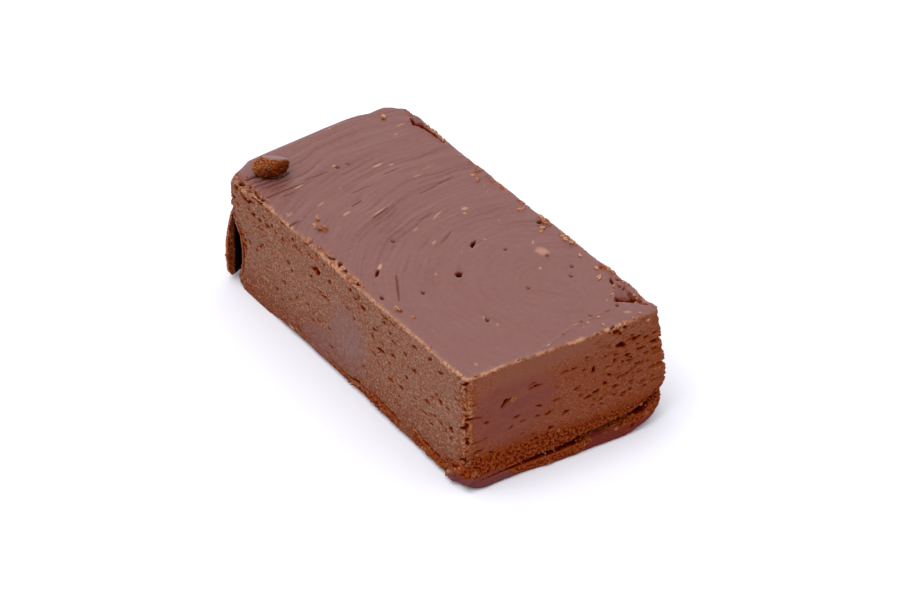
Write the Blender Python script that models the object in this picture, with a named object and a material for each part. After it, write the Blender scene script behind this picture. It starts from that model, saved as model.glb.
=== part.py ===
"""A cut bar of chocolate fudge, with one large crumb lying on its top.

Run with: blender --background --python part.py
Lengths below are in millimetres and are turned into metres as the meshes are made.
The bar lies along X. Its long knife cut faces -Y, its short knife cut faces +X, and the
natural end of the slab, with a smooth skin, faces -X.
"""

import math

import bmesh
import bpy
from mathutils import Matrix, Vector, noise

MM = 0.001

# A pair named ..._X, ..._Y or ..._Z is a stretch over which something grows, from none at
# its first number to all of it at its second.

# The bar: where its six sides lie before they are made uneven.
FAR_X = -48.3
NEAR_X = 42.6
NEAR_STEP = 1.05  # the short cut stands this much further out towards the rear
NEAR_STEP_Y = (-9.3, 5.5)
FRONT_Y = -21.3
REAR_Y = 21.9
TOP_Z = 25.0
FAR_RISE = 0.4  # the natural end stands this much thicker
FAR_RISE_X = (10.0, -40.0)

# How finely the sides are divided.
CELLS_LONG = 38
CELLS_WIDE = 20
BODY_ROWS = 11
END_CROWDING = 0.55  # cells near the corners are this much narrower

# The foot lip: bottom skin that stays behind, under the short cut.
LIP_TOP = 2.1
LIP_REACH = 1.2
LIP_ROWS = (0.0, 0.35, 0.72, 1.0)  # shares of the lip's height
LIP_BULGE = (0.0, 0.35, 0.3, 0.0)  # how far each of those rows swells past the reach
CLEFT_DEPTH = 2.6
CLEFT_DEPTH_Y = (-17.5, 8.0)
CLEFT_GAP = 0.9
CLEFT_FLOOR = 0.4  # where the deepest line lies in that gap, as a share of it
CLEFT_STEP = 0.35
CLEFT_STEP_Y = (-4.0, 6.0)
CLEFT_RISE = 3.9  # the cleft climbs this much towards the rear corner
CLEFT_RISE_Y = (9.0, 25.0)
CLEFT_X = (30.6, 40.6)  # it dies out along the rear side

# Corners in plan, as (reach along X, reach along Y). Those of the lip are round.
REAR_FAR_CORNER = (3.2, 3.8)
FRONT_FAR_CORNER = (5.2, 7.4)
LIP_FRONT_CORNER = (4.6, 4.0)
LIP_REAR_CORNER = (3.2, 5.5)
NEAR_TOP_CORNER = (1.2, 2.0)
NEAR_TOP_CORNER_Z = (19.0, 24.5)
FOOT_CORNER_FRONT = (2.0, 2.0)  # the bar's own corners just above the lip
FOOT_CORNER_REAR = (2.6, 4.0)
FOOT_CORNER_Z = (9.0, 2.0)

# The natural end.
END_SLANT = 0.115
END_SLANT_FROM_Y = 9.0
END_TOP_RADIUS = 2.4
END_TOP_CRISP = 0.7  # the top edge loses this share of its radius at the long cut
END_TOP_CRISP_Y = (-16.0, -20.0)
END_FOOT_RADIUS = 2.2
END_DENT = 0.7  # a shallow dent in its top edge, near the rear corner
END_DENT_Y = 15.4
END_DENT_HALF = 2.6
END_DENT_Z = (17.0, 24.0)

# The long sides.
REAR_NEAR_X = (5.0, 40.0)  # where the rear side takes on its extra bulge and foot
REAR_BULGE = 1.1
REAR_BULGE_EXTRA = 0.9
REAR_BULGE_Z = (25.0, 6.5)
REAR_FOOT = 3.6
REAR_FOOT_EXTRA = 2.6
REAR_FOOT_HEIGHT = 5.0
FRONT_FOOT = 0.5  # the long cut's foot spreads out by this near the short cut
FRONT_FOOT_X = (0.0, 35.0)
FRONT_FOOT_Z = (4.5, 0.5)
FRONT_FOOT_RADIUS = 1.5  # then it rounds under, over this stretch of the bar
FRONT_ROUND_X = (-38.0, -27.0)
FRONT_CORNER = 0.9  # its top corner at the natural end stands out by this
FRONT_CORNER_X = (-34.0, -42.0)
FRONT_CORNER_Z = (10.0, 20.0)

# The flap: skin of the natural end that the knife has pulled away from the front corner.
FLAP_BOTTOM = 0.3
FLAP_TOP = 17.4
FLAP_ROOT_Y = -12.5
FLAP_ROOT_X = -45.6
FLAP_EDGE_Y = -20.8
FLAP_EDGE_BOW = 1.9
FLAP_BELLY = 0.5  # its free edge swells outwards half-way up
FLAP_CURL = 3.9
FLAP_FOOT_CURL = 0.62  # its foot curls in by this share of that
FLAP_FOOT_CLIMB = 0.3
FLAP_THICKNESS = 1.4
FLAP_EDGE_THINNER = 0.35
FLAP_END_SHARE = 0.6  # its thickness at top and bottom, as a share of the middle
FLAP_RAGGED = 0.5
FLAP_ROWS = 12
FLAP_COLUMNS = 8
HOLLOW_DEPTH = 1.7  # how far the body stands back behind the flap
HOLLOW_Y = (-14.0, -17.5)
HOLLOW_Z = (17.4, 10.4)
HOLLOW_FOOT_Z = (2.0, 5.0)

# Loose-edged lumps on the rear edge of the top: (x, y, half length, half width, rise).
FLAKE_SUNK = 0.4
REAR_FLAKES = (
    (-37.2, 20.3, 3.0, 1.6, 0.9),
    (-32.4, 20.6, 4.6, 0.9, 0.5),
)

# The torn notch in the rear edge, near the short cut.
NOTCH_TIP = (36.8, 16.9)
NOTCH_MOUTH_Y = 24.0
NOTCH_LEFT_X = 31.0
NOTCH_RIGHT_X = 41.4
NOTCH_DEPTH = 1.3
NOTCH_LEFT_Y = 19.2
NOTCH_LIP = 0.1  # its shallow side ends this much above the top

# The large crumb on the top.
CRUMB_CENTRE = (-37.7, -13.7)
CRUMB_HALF = (3.4, 2.7, 1.75)
CRUMB_TURN = 56.0  # degrees, its long way against +X
CRUMB_GAP = 0.3
CRUMB_LUMPS = 0.14
CRUMB_GRAIN = 0.10
CRUMB_UNDERCUT = 0.22
CRUMB_BASE = -0.82  # its lower side is flattened at this share of its half height
CRUMB_TILT = 0.12

# Unevenness of the whole.
WAVE_LENGTH = 9.0
WAVE_HEIGHT = 0.28
GRAIN_LENGTH = 3.2
GRAIN_HEIGHT = 0.16
TOP_SHARE = 0.55  # the spread top is flatter than the cuts
END_SHARE = 0.4  # and so is the skin of the natural end
CUT_X = (-44.0, -38.0)  # where that skin gives way to the cut sides


def ease(t):
    """0 to 1 along a smooth S."""
    t = min(max(t, 0.0), 1.0)
    return t * t * (3.0 - 2.0 * t)


def ramp(stretch, value):
    """How far a value has come along a (start, end) stretch, from 0 to 1."""
    start, end = stretch
    return ease((value - start) / (end - start))


def mix(a, b, t):
    return a + (b - a) * t


def corner_rounding(corner, gap):
    """How far a rounded corner, (reach along X, reach along Y), has pulled in along X."""
    return corner[0] * rounding(gap, corner[1])


def rounding(gap, reach):
    """How far a rounded corner has pulled in at this gap from it, from 1 down to 0."""
    if gap >= reach:
        return 0.0
    t = 1.0 - max(gap, 0.0) / reach
    return 1.0 - math.sqrt(1.0 - t * t)


def chamfer(gap, reach):
    """As `rounding`, for a corner that is nearly a straight cut."""
    return (1.0 - min(max(gap, 0.0) / reach, 1.0)) ** 1.25


def crowded(step, count):
    """Where division line number `step` of `count` lies, from 0 to 1."""
    t = step / count
    return t - END_CROWDING * math.sin(2.0 * math.pi * t) / (2.0 * math.pi)


def wave(x, y, z, seed):
    """Broad and fine unevenness at a point, in millimetres."""
    broad = noise.noise(Vector((x, y, z)) / WAVE_LENGTH + Vector((seed, 0.0, 0.0)))
    fine = noise.noise(Vector((x, y, z)) / GRAIN_LENGTH + Vector((0.0, seed, 0.0)))
    return WAVE_HEIGHT * broad + GRAIN_HEIGHT * fine


def cleft_height(x, y):
    """The cleft's height over the floor: it climbs round the rear corner."""
    climb = CLEFT_STEP * ramp(CLEFT_STEP_Y, y) + CLEFT_RISE * ramp(CLEFT_RISE_Y, y) ** 1.5
    return LIP_TOP + climb * ramp(CLEFT_X, x)


def row_height(row, x, y):
    """The height of one ring of points, given where it is on the plan."""
    lip = cleft_height(x, y)
    if row < len(LIP_ROWS):
        return lip * LIP_ROWS[row]
    if row == len(LIP_ROWS):
        return lip + CLEFT_FLOOR * CLEFT_GAP
    top = TOP_Z + FAR_RISE * ramp(FAR_RISE_X, x)
    share = (row - len(LIP_ROWS) - 1) / BODY_ROWS
    return mix(lip + CLEFT_GAP, top, math.sin(0.5 * math.pi * share))


def near_x(y, z, row):
    """The short cut, with the lip under it and the cleft between them."""
    face = NEAR_X + NEAR_STEP * ramp(NEAR_STEP_Y, y)
    front_gap = y - FRONT_Y
    rear_gap = REAR_Y - y
    if row < len(LIP_ROWS):
        front = corner_rounding(LIP_FRONT_CORNER, front_gap)
        rear = corner_rounding(LIP_REAR_CORNER, rear_gap)
        return face + LIP_REACH + LIP_BULGE[row] - front - rear
    if row == len(LIP_ROWS):
        return face - CLEFT_DEPTH * ramp(CLEFT_DEPTH_Y, y)
    front = corner_rounding(FOOT_CORNER_FRONT, front_gap)
    rear = corner_rounding(FOOT_CORNER_REAR, rear_gap)
    top = corner_rounding(NEAR_TOP_CORNER, rear_gap)
    foot_share = ramp(FOOT_CORNER_Z, z)
    return face - (front + rear) * foot_share - top * ramp(NEAR_TOP_CORNER_Z, z)


def far_x(y, z):
    """The natural end: bowed, with rounded edges, two corners and the flap's hollow."""
    end = FAR_X + END_SLANT * max(0.0, END_SLANT_FROM_Y - y)
    top_radius = END_TOP_RADIUS * (1.0 - END_TOP_CRISP * ramp(END_TOP_CRISP_Y, y))
    end += top_radius * rounding(TOP_Z + FAR_RISE - z, top_radius)
    end += END_FOOT_RADIUS * rounding(z, END_FOOT_RADIUS)
    end += REAR_FAR_CORNER[0] * chamfer(REAR_Y - y, REAR_FAR_CORNER[1])
    end += FRONT_FAR_CORNER[0] * chamfer(y - FRONT_Y, FRONT_FAR_CORNER[1])
    end += END_DENT * ease(1.0 - abs(y - END_DENT_Y) / END_DENT_HALF) * ramp(END_DENT_Z, z)
    return end + HOLLOW_DEPTH * ramp(HOLLOW_Z, z) * ramp(HOLLOW_FOOT_Z, z) * ramp(HOLLOW_Y, y)


def front_y(x, z):
    """The long cut: nearly plane, but for its foot and one top corner."""
    foot = FRONT_FOOT * ramp(FRONT_FOOT_X, x) * ramp(FRONT_FOOT_Z, z)
    corner = FRONT_CORNER * ramp(FRONT_CORNER_X, x) * ramp(FRONT_CORNER_Z, z)
    under = FRONT_FOOT_RADIUS * rounding(z, FRONT_FOOT_RADIUS) * ramp(FRONT_ROUND_X, x)
    return FRONT_Y - foot - corner + under


def rear_y(x, z):
    """The rear side leans out towards its foot, then rounds under."""
    near = ramp(REAR_NEAR_X, x)
    bulge = REAR_BULGE + REAR_BULGE_EXTRA * near
    foot = REAR_FOOT + REAR_FOOT_EXTRA * near
    return REAR_Y + bulge * ramp(REAR_BULGE_Z, z) - foot * rounding(z, REAR_FOOT_HEIGHT)


def slab_point(across_x, across_y, row, last_row):
    """A point of the bar, from its place on a box of unit length and width."""
    plan_x = mix(FAR_X, NEAR_X, across_x)
    plan_y = mix(FRONT_Y, REAR_Y, across_y)
    z = row_height(row, plan_x, plan_y)
    x = mix(far_x(plan_y, z), near_x(plan_y, z, row), across_x)
    y = mix(front_y(plan_x, z), rear_y(plan_x, z), across_y)
    if across_x in (0.0, 1.0):
        outwards = 1.0 if across_x else -END_SHARE
        x += outwards * wave(x, y, z, 11.0)
    if across_y in (0.0, 1.0):
        outwards = 1.0 if across_y else -1.0
        y += outwards * wave(x, y, z, 23.0) * ramp(CUT_X, x)
    if row == last_row:
        z += TOP_SHARE * wave(x, y, z, 37.0)
    return Vector((x, y, z))


def slab_mesh():
    """The bar as a closed grid of quads on all six sides."""
    last_row = len(LIP_ROWS) + 1 + BODY_ROWS
    sizes = (CELLS_LONG, CELLS_WIDE, last_row)
    bm = bmesh.new()
    made = {}

    def vertex(i, j, row):
        if (i, j, row) not in made:
            u = crowded(i, CELLS_LONG)
            v = crowded(j, CELLS_WIDE)
            made[i, j, row] = bm.verts.new(slab_point(u, v, row, last_row) * MM)
        return made[i, j, row]

    for axis in range(3):
        first, second = (axis + 1) % 3, (axis + 2) % 3
        for level in (0, sizes[axis]):
            for a in range(sizes[first]):
                for b in range(sizes[second]):
                    corners = []
                    for da, db in ((0, 0), (1, 0), (1, 1), (0, 1)):
                        at = [0, 0, 0]
                        at[axis] = level
                        at[first] = a + da
                        at[second] = b + db
                        corners.append(vertex(*at))
                    bm.faces.new(corners if level else corners[::-1])
    return bm


def flap_point(climb, out, inner):
    """A point of the flap: `climb` runs up it, `out` from its root to its free edge."""
    bow = max(0.0, math.sin(math.pi * climb**0.72))
    z = mix(FLAP_BOTTOM, FLAP_TOP, climb)
    y = mix(FLAP_ROOT_Y, FLAP_EDGE_Y - FLAP_EDGE_BOW * bow**0.8, out)
    curl = FLAP_CURL * mix(FLAP_FOOT_CURL, 1.0, ease(climb / FLAP_FOOT_CLIMB))
    x = FLAP_ROOT_X + curl * out**2.2 - FLAP_BELLY * bow * out
    y += FLAP_RAGGED * noise.noise(Vector((z * 0.7, inner * 5.0, 3.0))) * out**3
    thickness = FLAP_THICKNESS * (1.0 - FLAP_EDGE_THINNER * out) * mix(FLAP_END_SHARE, 1.0, bow)
    return Vector((x + inner * thickness, y, z)) * MM


def flap_mesh():
    """A curved sheet, rooted in the natural end and open along its front edge."""
    bm = bmesh.new()
    sheets = []
    for inner in (0.0, 1.0):
        sheet = []
        for i in range(FLAP_ROWS + 1):
            climb = i / FLAP_ROWS
            outs = (j / FLAP_COLUMNS for j in range(FLAP_COLUMNS + 1))
            sheet.append([bm.verts.new(flap_point(climb, out, inner)) for out in outs])
        sheets.append(sheet)
    outer, inner = sheets
    for i in range(FLAP_ROWS):
        for j in range(FLAP_COLUMNS):
            bm.faces.new((outer[i][j], outer[i + 1][j], outer[i + 1][j + 1], outer[i][j + 1]))
            bm.faces.new((inner[i][j], inner[i][j + 1], inner[i + 1][j + 1], inner[i + 1][j]))
    for i in range(FLAP_ROWS):
        for j in (0, FLAP_COLUMNS):
            bm.faces.new((outer[i][j], inner[i][j], inner[i + 1][j], outer[i + 1][j]))
    for j in range(FLAP_COLUMNS):
        for i in (0, FLAP_ROWS):
            bm.faces.new((outer[i][j], outer[i][j + 1], inner[i][j + 1], inner[i][j]))
    bmesh.ops.recalc_face_normals(bm, faces=bm.faces)
    return bm


def flake_mesh(x, y, half_length, half_width, rise):
    """A flat lump, half sunk in the top."""
    bm = bmesh.new()
    bmesh.ops.create_icosphere(bm, subdivisions=2, radius=1.0)
    for vert in bm.verts:
        rough = 1.0 + 0.18 * noise.noise(vert.co * 2.0 + Vector((x, 0.0, 0.0)))
        shape = Vector((half_length, half_width, rise + FLAKE_SUNK)) * rough
        centre = Vector((x, y, TOP_Z + FAR_RISE - FLAKE_SUNK))
        vert.co = (Vector(a * b for a, b in zip(vert.co, shape)) + centre) * MM
    return bm


def notch_mesh():
    """The cutter of the torn notch: its floor falls towards a steep right wall."""
    tip_x, tip_y = NOTCH_TIP
    floor = TOP_Z - NOTCH_DEPTH
    shallow = TOP_Z + NOTCH_LIP
    bottom = (
        (NOTCH_LEFT_X, NOTCH_LEFT_Y, shallow),
        (NOTCH_LEFT_X + 1.0, NOTCH_MOUTH_Y, shallow),
        (tip_x, tip_y, floor + 0.5),
        (tip_x + 2.2, tip_y + 2.0, floor),
        (NOTCH_RIGHT_X, NOTCH_MOUTH_Y, TOP_Z - 0.3),
    )
    bm = bmesh.new()
    for x, y, z in bottom:
        bm.verts.new(Vector((x, y, z)) * MM)
        bm.verts.new(Vector((x, y, TOP_Z + 2.0)) * MM)
    bmesh.ops.convex_hull(bm, input=bm.verts)
    bmesh.ops.recalc_face_normals(bm, faces=bm.faces)
    return bm


def crumb_mesh():
    """A lump with a smooth flattish cap and a rough, undercut lower half."""
    bm = bmesh.new()
    bmesh.ops.create_icosphere(bm, subdivisions=4, radius=1.0)
    half_x, half_y, half_z = CRUMB_HALF
    for vert in bm.verts:
        x, y, z = vert.co
        lump = CRUMB_LUMPS * noise.noise(vert.co * 1.7 + Vector((4.0, 0.0, 0.0)))
        grain = CRUMB_GRAIN * noise.noise(vert.co * 5.5) * ramp((0.75, 0.2), z)
        width = (1.0 + lump + grain) * (1.0 - CRUMB_UNDERCUT * ramp((-0.2, -1.0), z))
        x *= half_x * width
        y *= half_y * width
        z = max(z, CRUMB_BASE) * half_z * (1.0 + 0.5 * lump) + CRUMB_TILT * x
        vert.co = Vector((x, y, z))
    lowest = min(vert.co.z for vert in bm.verts)
    highest_top = TOP_Z + FAR_RISE + TOP_SHARE * WAVE_HEIGHT
    place = Vector((*CRUMB_CENTRE, highest_top + CRUMB_GAP - lowest))
    turn = Matrix.Rotation(math.radians(CRUMB_TURN), 3, "Z")
    for vert in bm.verts:
        vert.co = (turn @ vert.co + place) * MM
    return bm


def fudge_material(name, colour, roughness):
    material = bpy.data.materials.new(name)
    material.use_nodes = True
    shader = material.node_tree.nodes["Principled BSDF"]
    shader.inputs["Base Color"].default_value = (*colour, 1.0)
    shader.inputs["Roughness"].default_value = roughness
    shader.inputs["Metallic"].default_value = 0.0
    material.diffuse_color = (*colour, 1.0)
    return material


def add_object(name, bm, parent, material=None):
    mesh = bpy.data.meshes.new(name)
    bmesh.ops.triangulate(bm, faces=bm.faces)
    bm.to_mesh(mesh)
    bm.free()
    obj = bpy.data.objects.new(name, mesh)
    bpy.context.scene.collection.objects.link(obj)
    obj.parent = parent
    if material:
        mesh.materials.append(material)
    return obj


def join_or_cut(body, tool, operation):
    """Leaves the tool in the scene as a hidden guide."""
    tool.hide_render = True
    tool.display_type = "WIRE"
    boolean = body.modifiers.new(tool.name, "BOOLEAN")
    boolean.object = tool
    boolean.operation = operation
    boolean.solver = "EXACT"


def centre_on_floor(root, objects):
    """Moves the empty so that the origin is under the middle of the whole."""
    bpy.context.view_layer.update()
    graph = bpy.context.evaluated_depsgraph_get()
    corners = []
    for obj in objects:
        evaluated = obj.evaluated_get(graph)
        corners += [evaluated.matrix_world @ vert.co for vert in evaluated.data.vertices]
    low = Vector(min(corner[axis] for corner in corners) for axis in range(3))
    high = Vector(max(corner[axis] for corner in corners) for axis in range(3))
    root.location = (-(low.x + high.x) / 2, -(low.y + high.y) / 2, -low.z)
    size = (high - low) / MM
    print(f"whole: {size.x:.2f} x {size.y:.2f} x {size.z:.2f} mm")
    print(f"moved by {root.location.x / MM:.3f}, {root.location.y / MM:.3f} mm")


def main():
    for obj in list(bpy.data.objects):
        bpy.data.objects.remove(obj)
    chocolate = fudge_material("chocolate_fudge", (0.19, 0.085, 0.062), 0.55)
    crumbly = fudge_material("crumbly_fudge", (0.22, 0.075, 0.04), 0.75)

    root = bpy.data.objects.new("fudge", None)
    bpy.context.scene.collection.objects.link(root)

    slab = add_object("fudge_slab", slab_mesh(), root, chocolate)
    join_or_cut(slab, add_object("flap", flap_mesh(), root), "UNION")
    for number, flake in enumerate(REAR_FLAKES):
        tool = add_object(f"rear_flake_{number}", flake_mesh(*flake), root)
        join_or_cut(slab, tool, "UNION")
    join_or_cut(slab, add_object("notch", notch_mesh(), root), "DIFFERENCE")

    crumb = add_object("top_crumb", crumb_mesh(), root, crumbly)
    crumb.data.shade_smooth()
    centre_on_floor(root, (slab, crumb))


main()
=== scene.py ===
# %% [markdown]
# # A bar of chocolate fudge
#
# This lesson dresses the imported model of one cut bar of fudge. The model gives the size and
# the main form. The script adds what the eye reads as fudge: a top spread with a knife,
# cuts full of small holes, skin where the knife rubbed, crumbs on the edges and the top.
#
# All lengths in the tables below are millimetres. They are measured from the datum, the
# middle of the cut block at the height of the table it stands on.

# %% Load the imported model
import math

import bmesh
import bpy
import numpy as np
from mathutils import Euler, Matrix, Vector, noise
from mathutils.bvhtree import BVHTree


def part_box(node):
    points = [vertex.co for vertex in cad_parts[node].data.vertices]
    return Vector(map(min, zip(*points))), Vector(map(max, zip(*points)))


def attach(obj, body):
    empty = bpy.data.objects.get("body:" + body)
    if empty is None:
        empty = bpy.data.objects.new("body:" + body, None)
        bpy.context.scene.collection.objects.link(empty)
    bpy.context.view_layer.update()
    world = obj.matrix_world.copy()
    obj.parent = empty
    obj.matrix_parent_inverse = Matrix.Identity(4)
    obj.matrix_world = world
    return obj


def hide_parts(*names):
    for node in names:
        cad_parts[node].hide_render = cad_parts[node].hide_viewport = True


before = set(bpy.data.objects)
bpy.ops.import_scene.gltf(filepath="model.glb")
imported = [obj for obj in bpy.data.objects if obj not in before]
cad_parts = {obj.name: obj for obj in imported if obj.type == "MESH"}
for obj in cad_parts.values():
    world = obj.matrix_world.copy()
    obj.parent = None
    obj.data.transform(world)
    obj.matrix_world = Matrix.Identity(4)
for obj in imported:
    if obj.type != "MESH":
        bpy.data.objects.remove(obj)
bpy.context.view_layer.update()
MM = 0.001
LIP_TO_DATUM = 45.38
FLAP_TO_DATUM = 22.81
TOP = 25.0

slab_low, slab_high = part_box("fudge_slab")
DATUM = Vector((slab_high.x - LIP_TO_DATUM * MM, slab_low.y + FLAP_TO_DATUM * MM, 0.0))
print("datum at", [round(c / MM, 2) for c in DATUM], "mm")


def from_datum(x, y, z):
    """A point in metres, from millimetres off the datum."""
    return DATUM + Vector((x, y, z)) * MM


def add_object(name, data):
    """Puts new data into the scene as an object."""
    obj = bpy.data.objects.new(name, data)
    bpy.context.scene.collection.objects.link(obj)
    return obj


# %% [markdown]
# ## Camera
#
# The camera stands about 0.6 m away and looks down on the near corner with a long lens, so
# the edges of the bar run almost parallel. Its axes are written out from two angles, which
# is clearer than turning an object by hand.

# %% Camera
AZIMUTH = math.radians(56.4)
ELEVATION = math.radians(34.1)
CAMERA_DISTANCE = 0.602
AIM = (3.4, 1.45, 12.0)

backwards = Vector(
    (
        math.sin(AZIMUTH) * math.cos(ELEVATION),
        -math.cos(AZIMUTH) * math.cos(ELEVATION),
        math.sin(ELEVATION),
    )
)
sideways = Vector((math.cos(AZIMUTH), math.sin(AZIMUTH), 0.0))
upwards = backwards.cross(sideways)
camera_data = bpy.data.cameras.new("camera")
camera_data.lens = 124.0
camera_data.sensor_width = 36.0
camera_data.clip_start = 0.01
camera = add_object("camera", camera_data)
turned = Matrix((sideways, upwards, backwards)).transposed().to_4x4()
camera.matrix_world = Matrix.Translation(from_datum(*AIM) + backwards * CAMERA_DISTANCE) @ turned
bpy.context.scene.camera = camera
print("camera at", [round(c, 3) for c in camera.matrix_world.translation])

# %% [markdown]
# ## A short way to write node trees
#
# Geometry Nodes and shader nodes share their maths and texture nodes. Two small classes let
# a tree be written as formulas: `Graph` adds a node, fills its inputs with numbers or
# links, and returns an output as a `Field`, and fields add and multiply like numbers. The
# same formula can then shape the mesh and colour it.


# %% Fields that add and multiply
class Field:
    """An output of a node. `a * b + c` adds the nodes that work it out."""

    def __init__(self, graph, socket):
        self.graph = graph
        self.socket = socket


def teach(sign, operation):
    """Gives fields one arithmetic sign, whichever side of it the field stands on."""

    def left(self, other):
        return self.graph.math(operation, self, other)

    def right(self, other):
        return self.graph.math(operation, other, self)

    setattr(Field, f"__{sign}__", left)
    setattr(Field, f"__r{sign}__", right)


SIGNS = {"add": "ADD", "sub": "SUBTRACT", "mul": "MULTIPLY", "truediv": "DIVIDE"}
for sign, operation in SIGNS.items():
    teach(sign, operation)


# %% A tree written as formulas
class Graph:
    """Adds nodes to one tree. Every method takes numbers, colours or fields."""

    def __init__(self, tree):
        self.tree = tree

    def put(self, socket, value):
        """Fills an input."""
        if isinstance(value, Field):
            self.tree.links.new(value.socket, socket)
        else:
            socket.default_value = value

    def node(self, kind, inputs=(), **settings):
        made = self.tree.nodes.new(kind)
        for name, value in settings.items():
            setattr(made, name, value)
        for key, value in dict(inputs).items():
            self.put(made.inputs[key], value)
        return made

    def read(self, kind, inputs=(), output=0, **settings):
        """Adds a node and returns one output."""
        return Field(self, self.node(kind, inputs, **settings).outputs[output])

    def given(self):
        """The inputs of the whole tree, by name."""
        return {socket.name: Field(self, socket) for socket in self.node("NodeGroupInput").outputs}

    def math(self, operation, *values):
        return self.read("ShaderNodeMath", dict(enumerate(values)), operation=operation)

    def most(self, *values):
        result = values[0]
        for value in values[1:]:
            result = self.math("MAXIMUM", result, value)
        return result

    def least(self, a, b):
        return self.math("MINIMUM", a, b)

    def length(self, u, v):
        return self.math("SQRT", u * u + v * v)

    def vector_math(self, operation, *values):
        output = "Value" if operation in ("LENGTH", "DOT_PRODUCT") else "Vector"
        inputs = dict(enumerate(values))
        return self.read("ShaderNodeVectorMath", inputs, output, operation=operation)

    def scaled(self, vector, amount):
        inputs = {0: vector, "Scale": amount}
        return self.read("ShaderNodeVectorMath", inputs, "Vector", operation="SCALE")

    def parts(self, vector):
        made = self.node("ShaderNodeSeparateXYZ", {0: vector})
        return [Field(self, socket) for socket in made.outputs]

    def vector(self, x=0.0, y=0.0, z=0.0):
        return self.read("ShaderNodeCombineXYZ", {0: x, 1: y, 2: z})

    def ramp(self, value, start, end, low=0.0, high=1.0):
        """A smooth step from `low` at `start` to `high` at `end`."""
        inputs = {0: value, 1: start, 2: end, 3: low, 4: high}
        return self.read("ShaderNodeMapRange", inputs, interpolation_type="SMOOTHSTEP")

    def noise(self, place, size, detail=2.0, rough=0.5, output="Fac"):
        """Noise whose lumps are about `size` across, from 0 to 1."""
        inputs = {"Vector": place, "Scale": 1.0 / size, "Detail": detail, "Roughness": rough}
        return self.read("ShaderNodeTexNoise", inputs, output)

    def cells(self, place, size):
        """Cells about `size` across: distance to the middle, and a random vector."""
        made = self.node("ShaderNodeTexVoronoi", {"Vector": place, "Scale": 1.0 / size})
        return Field(self, made.outputs["Distance"]), Field(self, made.outputs["Color"])

    def bent(self, place, by, size, detail, amount):
        """A place pushed about by noise that is read at another place."""
        bend = self.noise(by, size, detail, output="Color")
        bend = self.vector_math("SUBTRACT", bend, (0.5, 0.5, 0.5))
        return self.vector_math("ADD", place, self.scaled(bend, amount))

    def mix(self, amount, a, b):
        """A colour between a and b."""
        return self.read("ShaderNodeMix", {0: amount, 6: a, 7: b}, 2, data_type="RGBA")

    def blurred(self, value, rounds, kind="FLOAT"):
        """Geometry Nodes only: a field averaged over neighbouring points."""
        inputs = {"Value": value, "Iterations": rounds}
        return self.read("GeometryNodeBlurAttribute", inputs, "Value", data_type=kind)


# %% [markdown]
# ## What the surface does where
#
# Geometry Nodes press the holes into the mesh, and the shader paints shade into the same
# holes. Both work from the resting place of a point, in millimetres off the datum, which the
# mesh carries in an attribute, so shape and colour stay together after the surface has moved.
#
# Holes are balls scattered through the whole bar, longer along the level than upright. A
# cut shows where it happens to slice them, just as in real fudge.


# %% Holes in the cut faces
def holes(g, place, size, share, biggest):
    """Which part of a point lies in a hole: cells `size` high, a `share` of them hollow."""
    level = g.vector_math("MULTIPLY", place, (0.36, 0.36, 1.0))
    distance, colour = g.cells(g.bent(level, place, 0.9, 2.0, 1.1 * size), size)
    chance, width, _ = g.parts(colour)
    radius = g.ramp(chance, 1.0 - share, 1.0 - share * 0.35) * biggest
    radius = radius * (0.55 + 0.45 * width)
    return g.ramp(distance, radius, radius * 0.45)


def mottle(g, place):
    """Fine grain of a cut, flatter than it is long. Its lowest parts are tiny pits."""
    level = g.vector_math("MULTIPLY", place, (0.60, 0.60, 1.0))
    return g.noise(level, 0.30, 3.0, 0.62)


def both_holes(g, place, front, near):
    """Wide and fine holes. There are more at the upper left and at the right of the cuts."""
    x, y, z = g.parts(place)
    left = front * g.ramp(x, -10.0, -32.0) * g.ramp(z, 9.0, 19.0)
    upper = front * g.ramp(z, 18.5, 21.5) * g.ramp(x, 20.0, 8.0)
    right = near * g.ramp(y, -6.0, 12.0)
    busy = left * 0.46 + upper * 0.24 + right * 0.48 + near * 0.10
    wide = holes(g, place, 0.95, 0.05 + busy * 0.8, 0.50)
    elsewhere = g.vector_math("ADD", place, (31.0, 7.0, 3.0))
    fine = holes(g, elsewhere, 0.50, 0.12 + busy, 0.50)
    return wide, fine


# %% [markdown]
# The knife went round in wide arcs, so its strokes are parts of circles about one point
# near the short cut. Noise that changes fast along the radius and slowly round the circle
# gives lines that start and stop by themselves.

# %% Strokes of the spreading knife
STROKE_CENTRE = (25.0, 12.0)


def strokes(g, place, width, length):
    """Lines `width` apart that run round the stroke centre, about `length` long."""
    x, y, _ = g.parts(place)
    u = x - STROKE_CENTRE[0]
    v = y - STROKE_CENTRE[1]
    radius = g.length(u, v)
    angle = g.math("ARCTAN2", 0.0 - v, 0.0 - u)
    around = angle * (40.0 / length)
    drift = g.noise(place, 16.0, 2.0) * 5.0
    line = g.vector((radius + drift) / width, around, 0.0)
    return g.noise(line, 1.0, 3.0) - 0.5


def all_strokes(g, place):
    """Fine and broad lines together. They fade towards the short cut."""
    x, _, _ = g.parts(place)
    patchy = g.ramp(g.noise(place, 8.0, 2.0), 0.36, 0.62, 0.35, 1.4)
    fine = strokes(g, place, 0.8, 30.0) * patchy
    lines = fine + strokes(g, place, 2.8, 50.0) * 0.8
    return lines * g.ramp(x, 26.0, -10.0, 0.35, 1.0)


# %% [markdown]
# ## The bar, step one: an even, fine mesh
#
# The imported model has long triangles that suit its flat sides. Relief needs small faces of
# one size all over, which the voxel remesher makes from any closed body.


# %% Even mesh of a model node
def evaluated_mesh(obj):
    """The object's mesh with its modifiers applied, as new data."""
    graph = bpy.context.evaluated_depsgraph_get()
    return bpy.data.meshes.new_from_object(obj.evaluated_get(graph))


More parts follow.
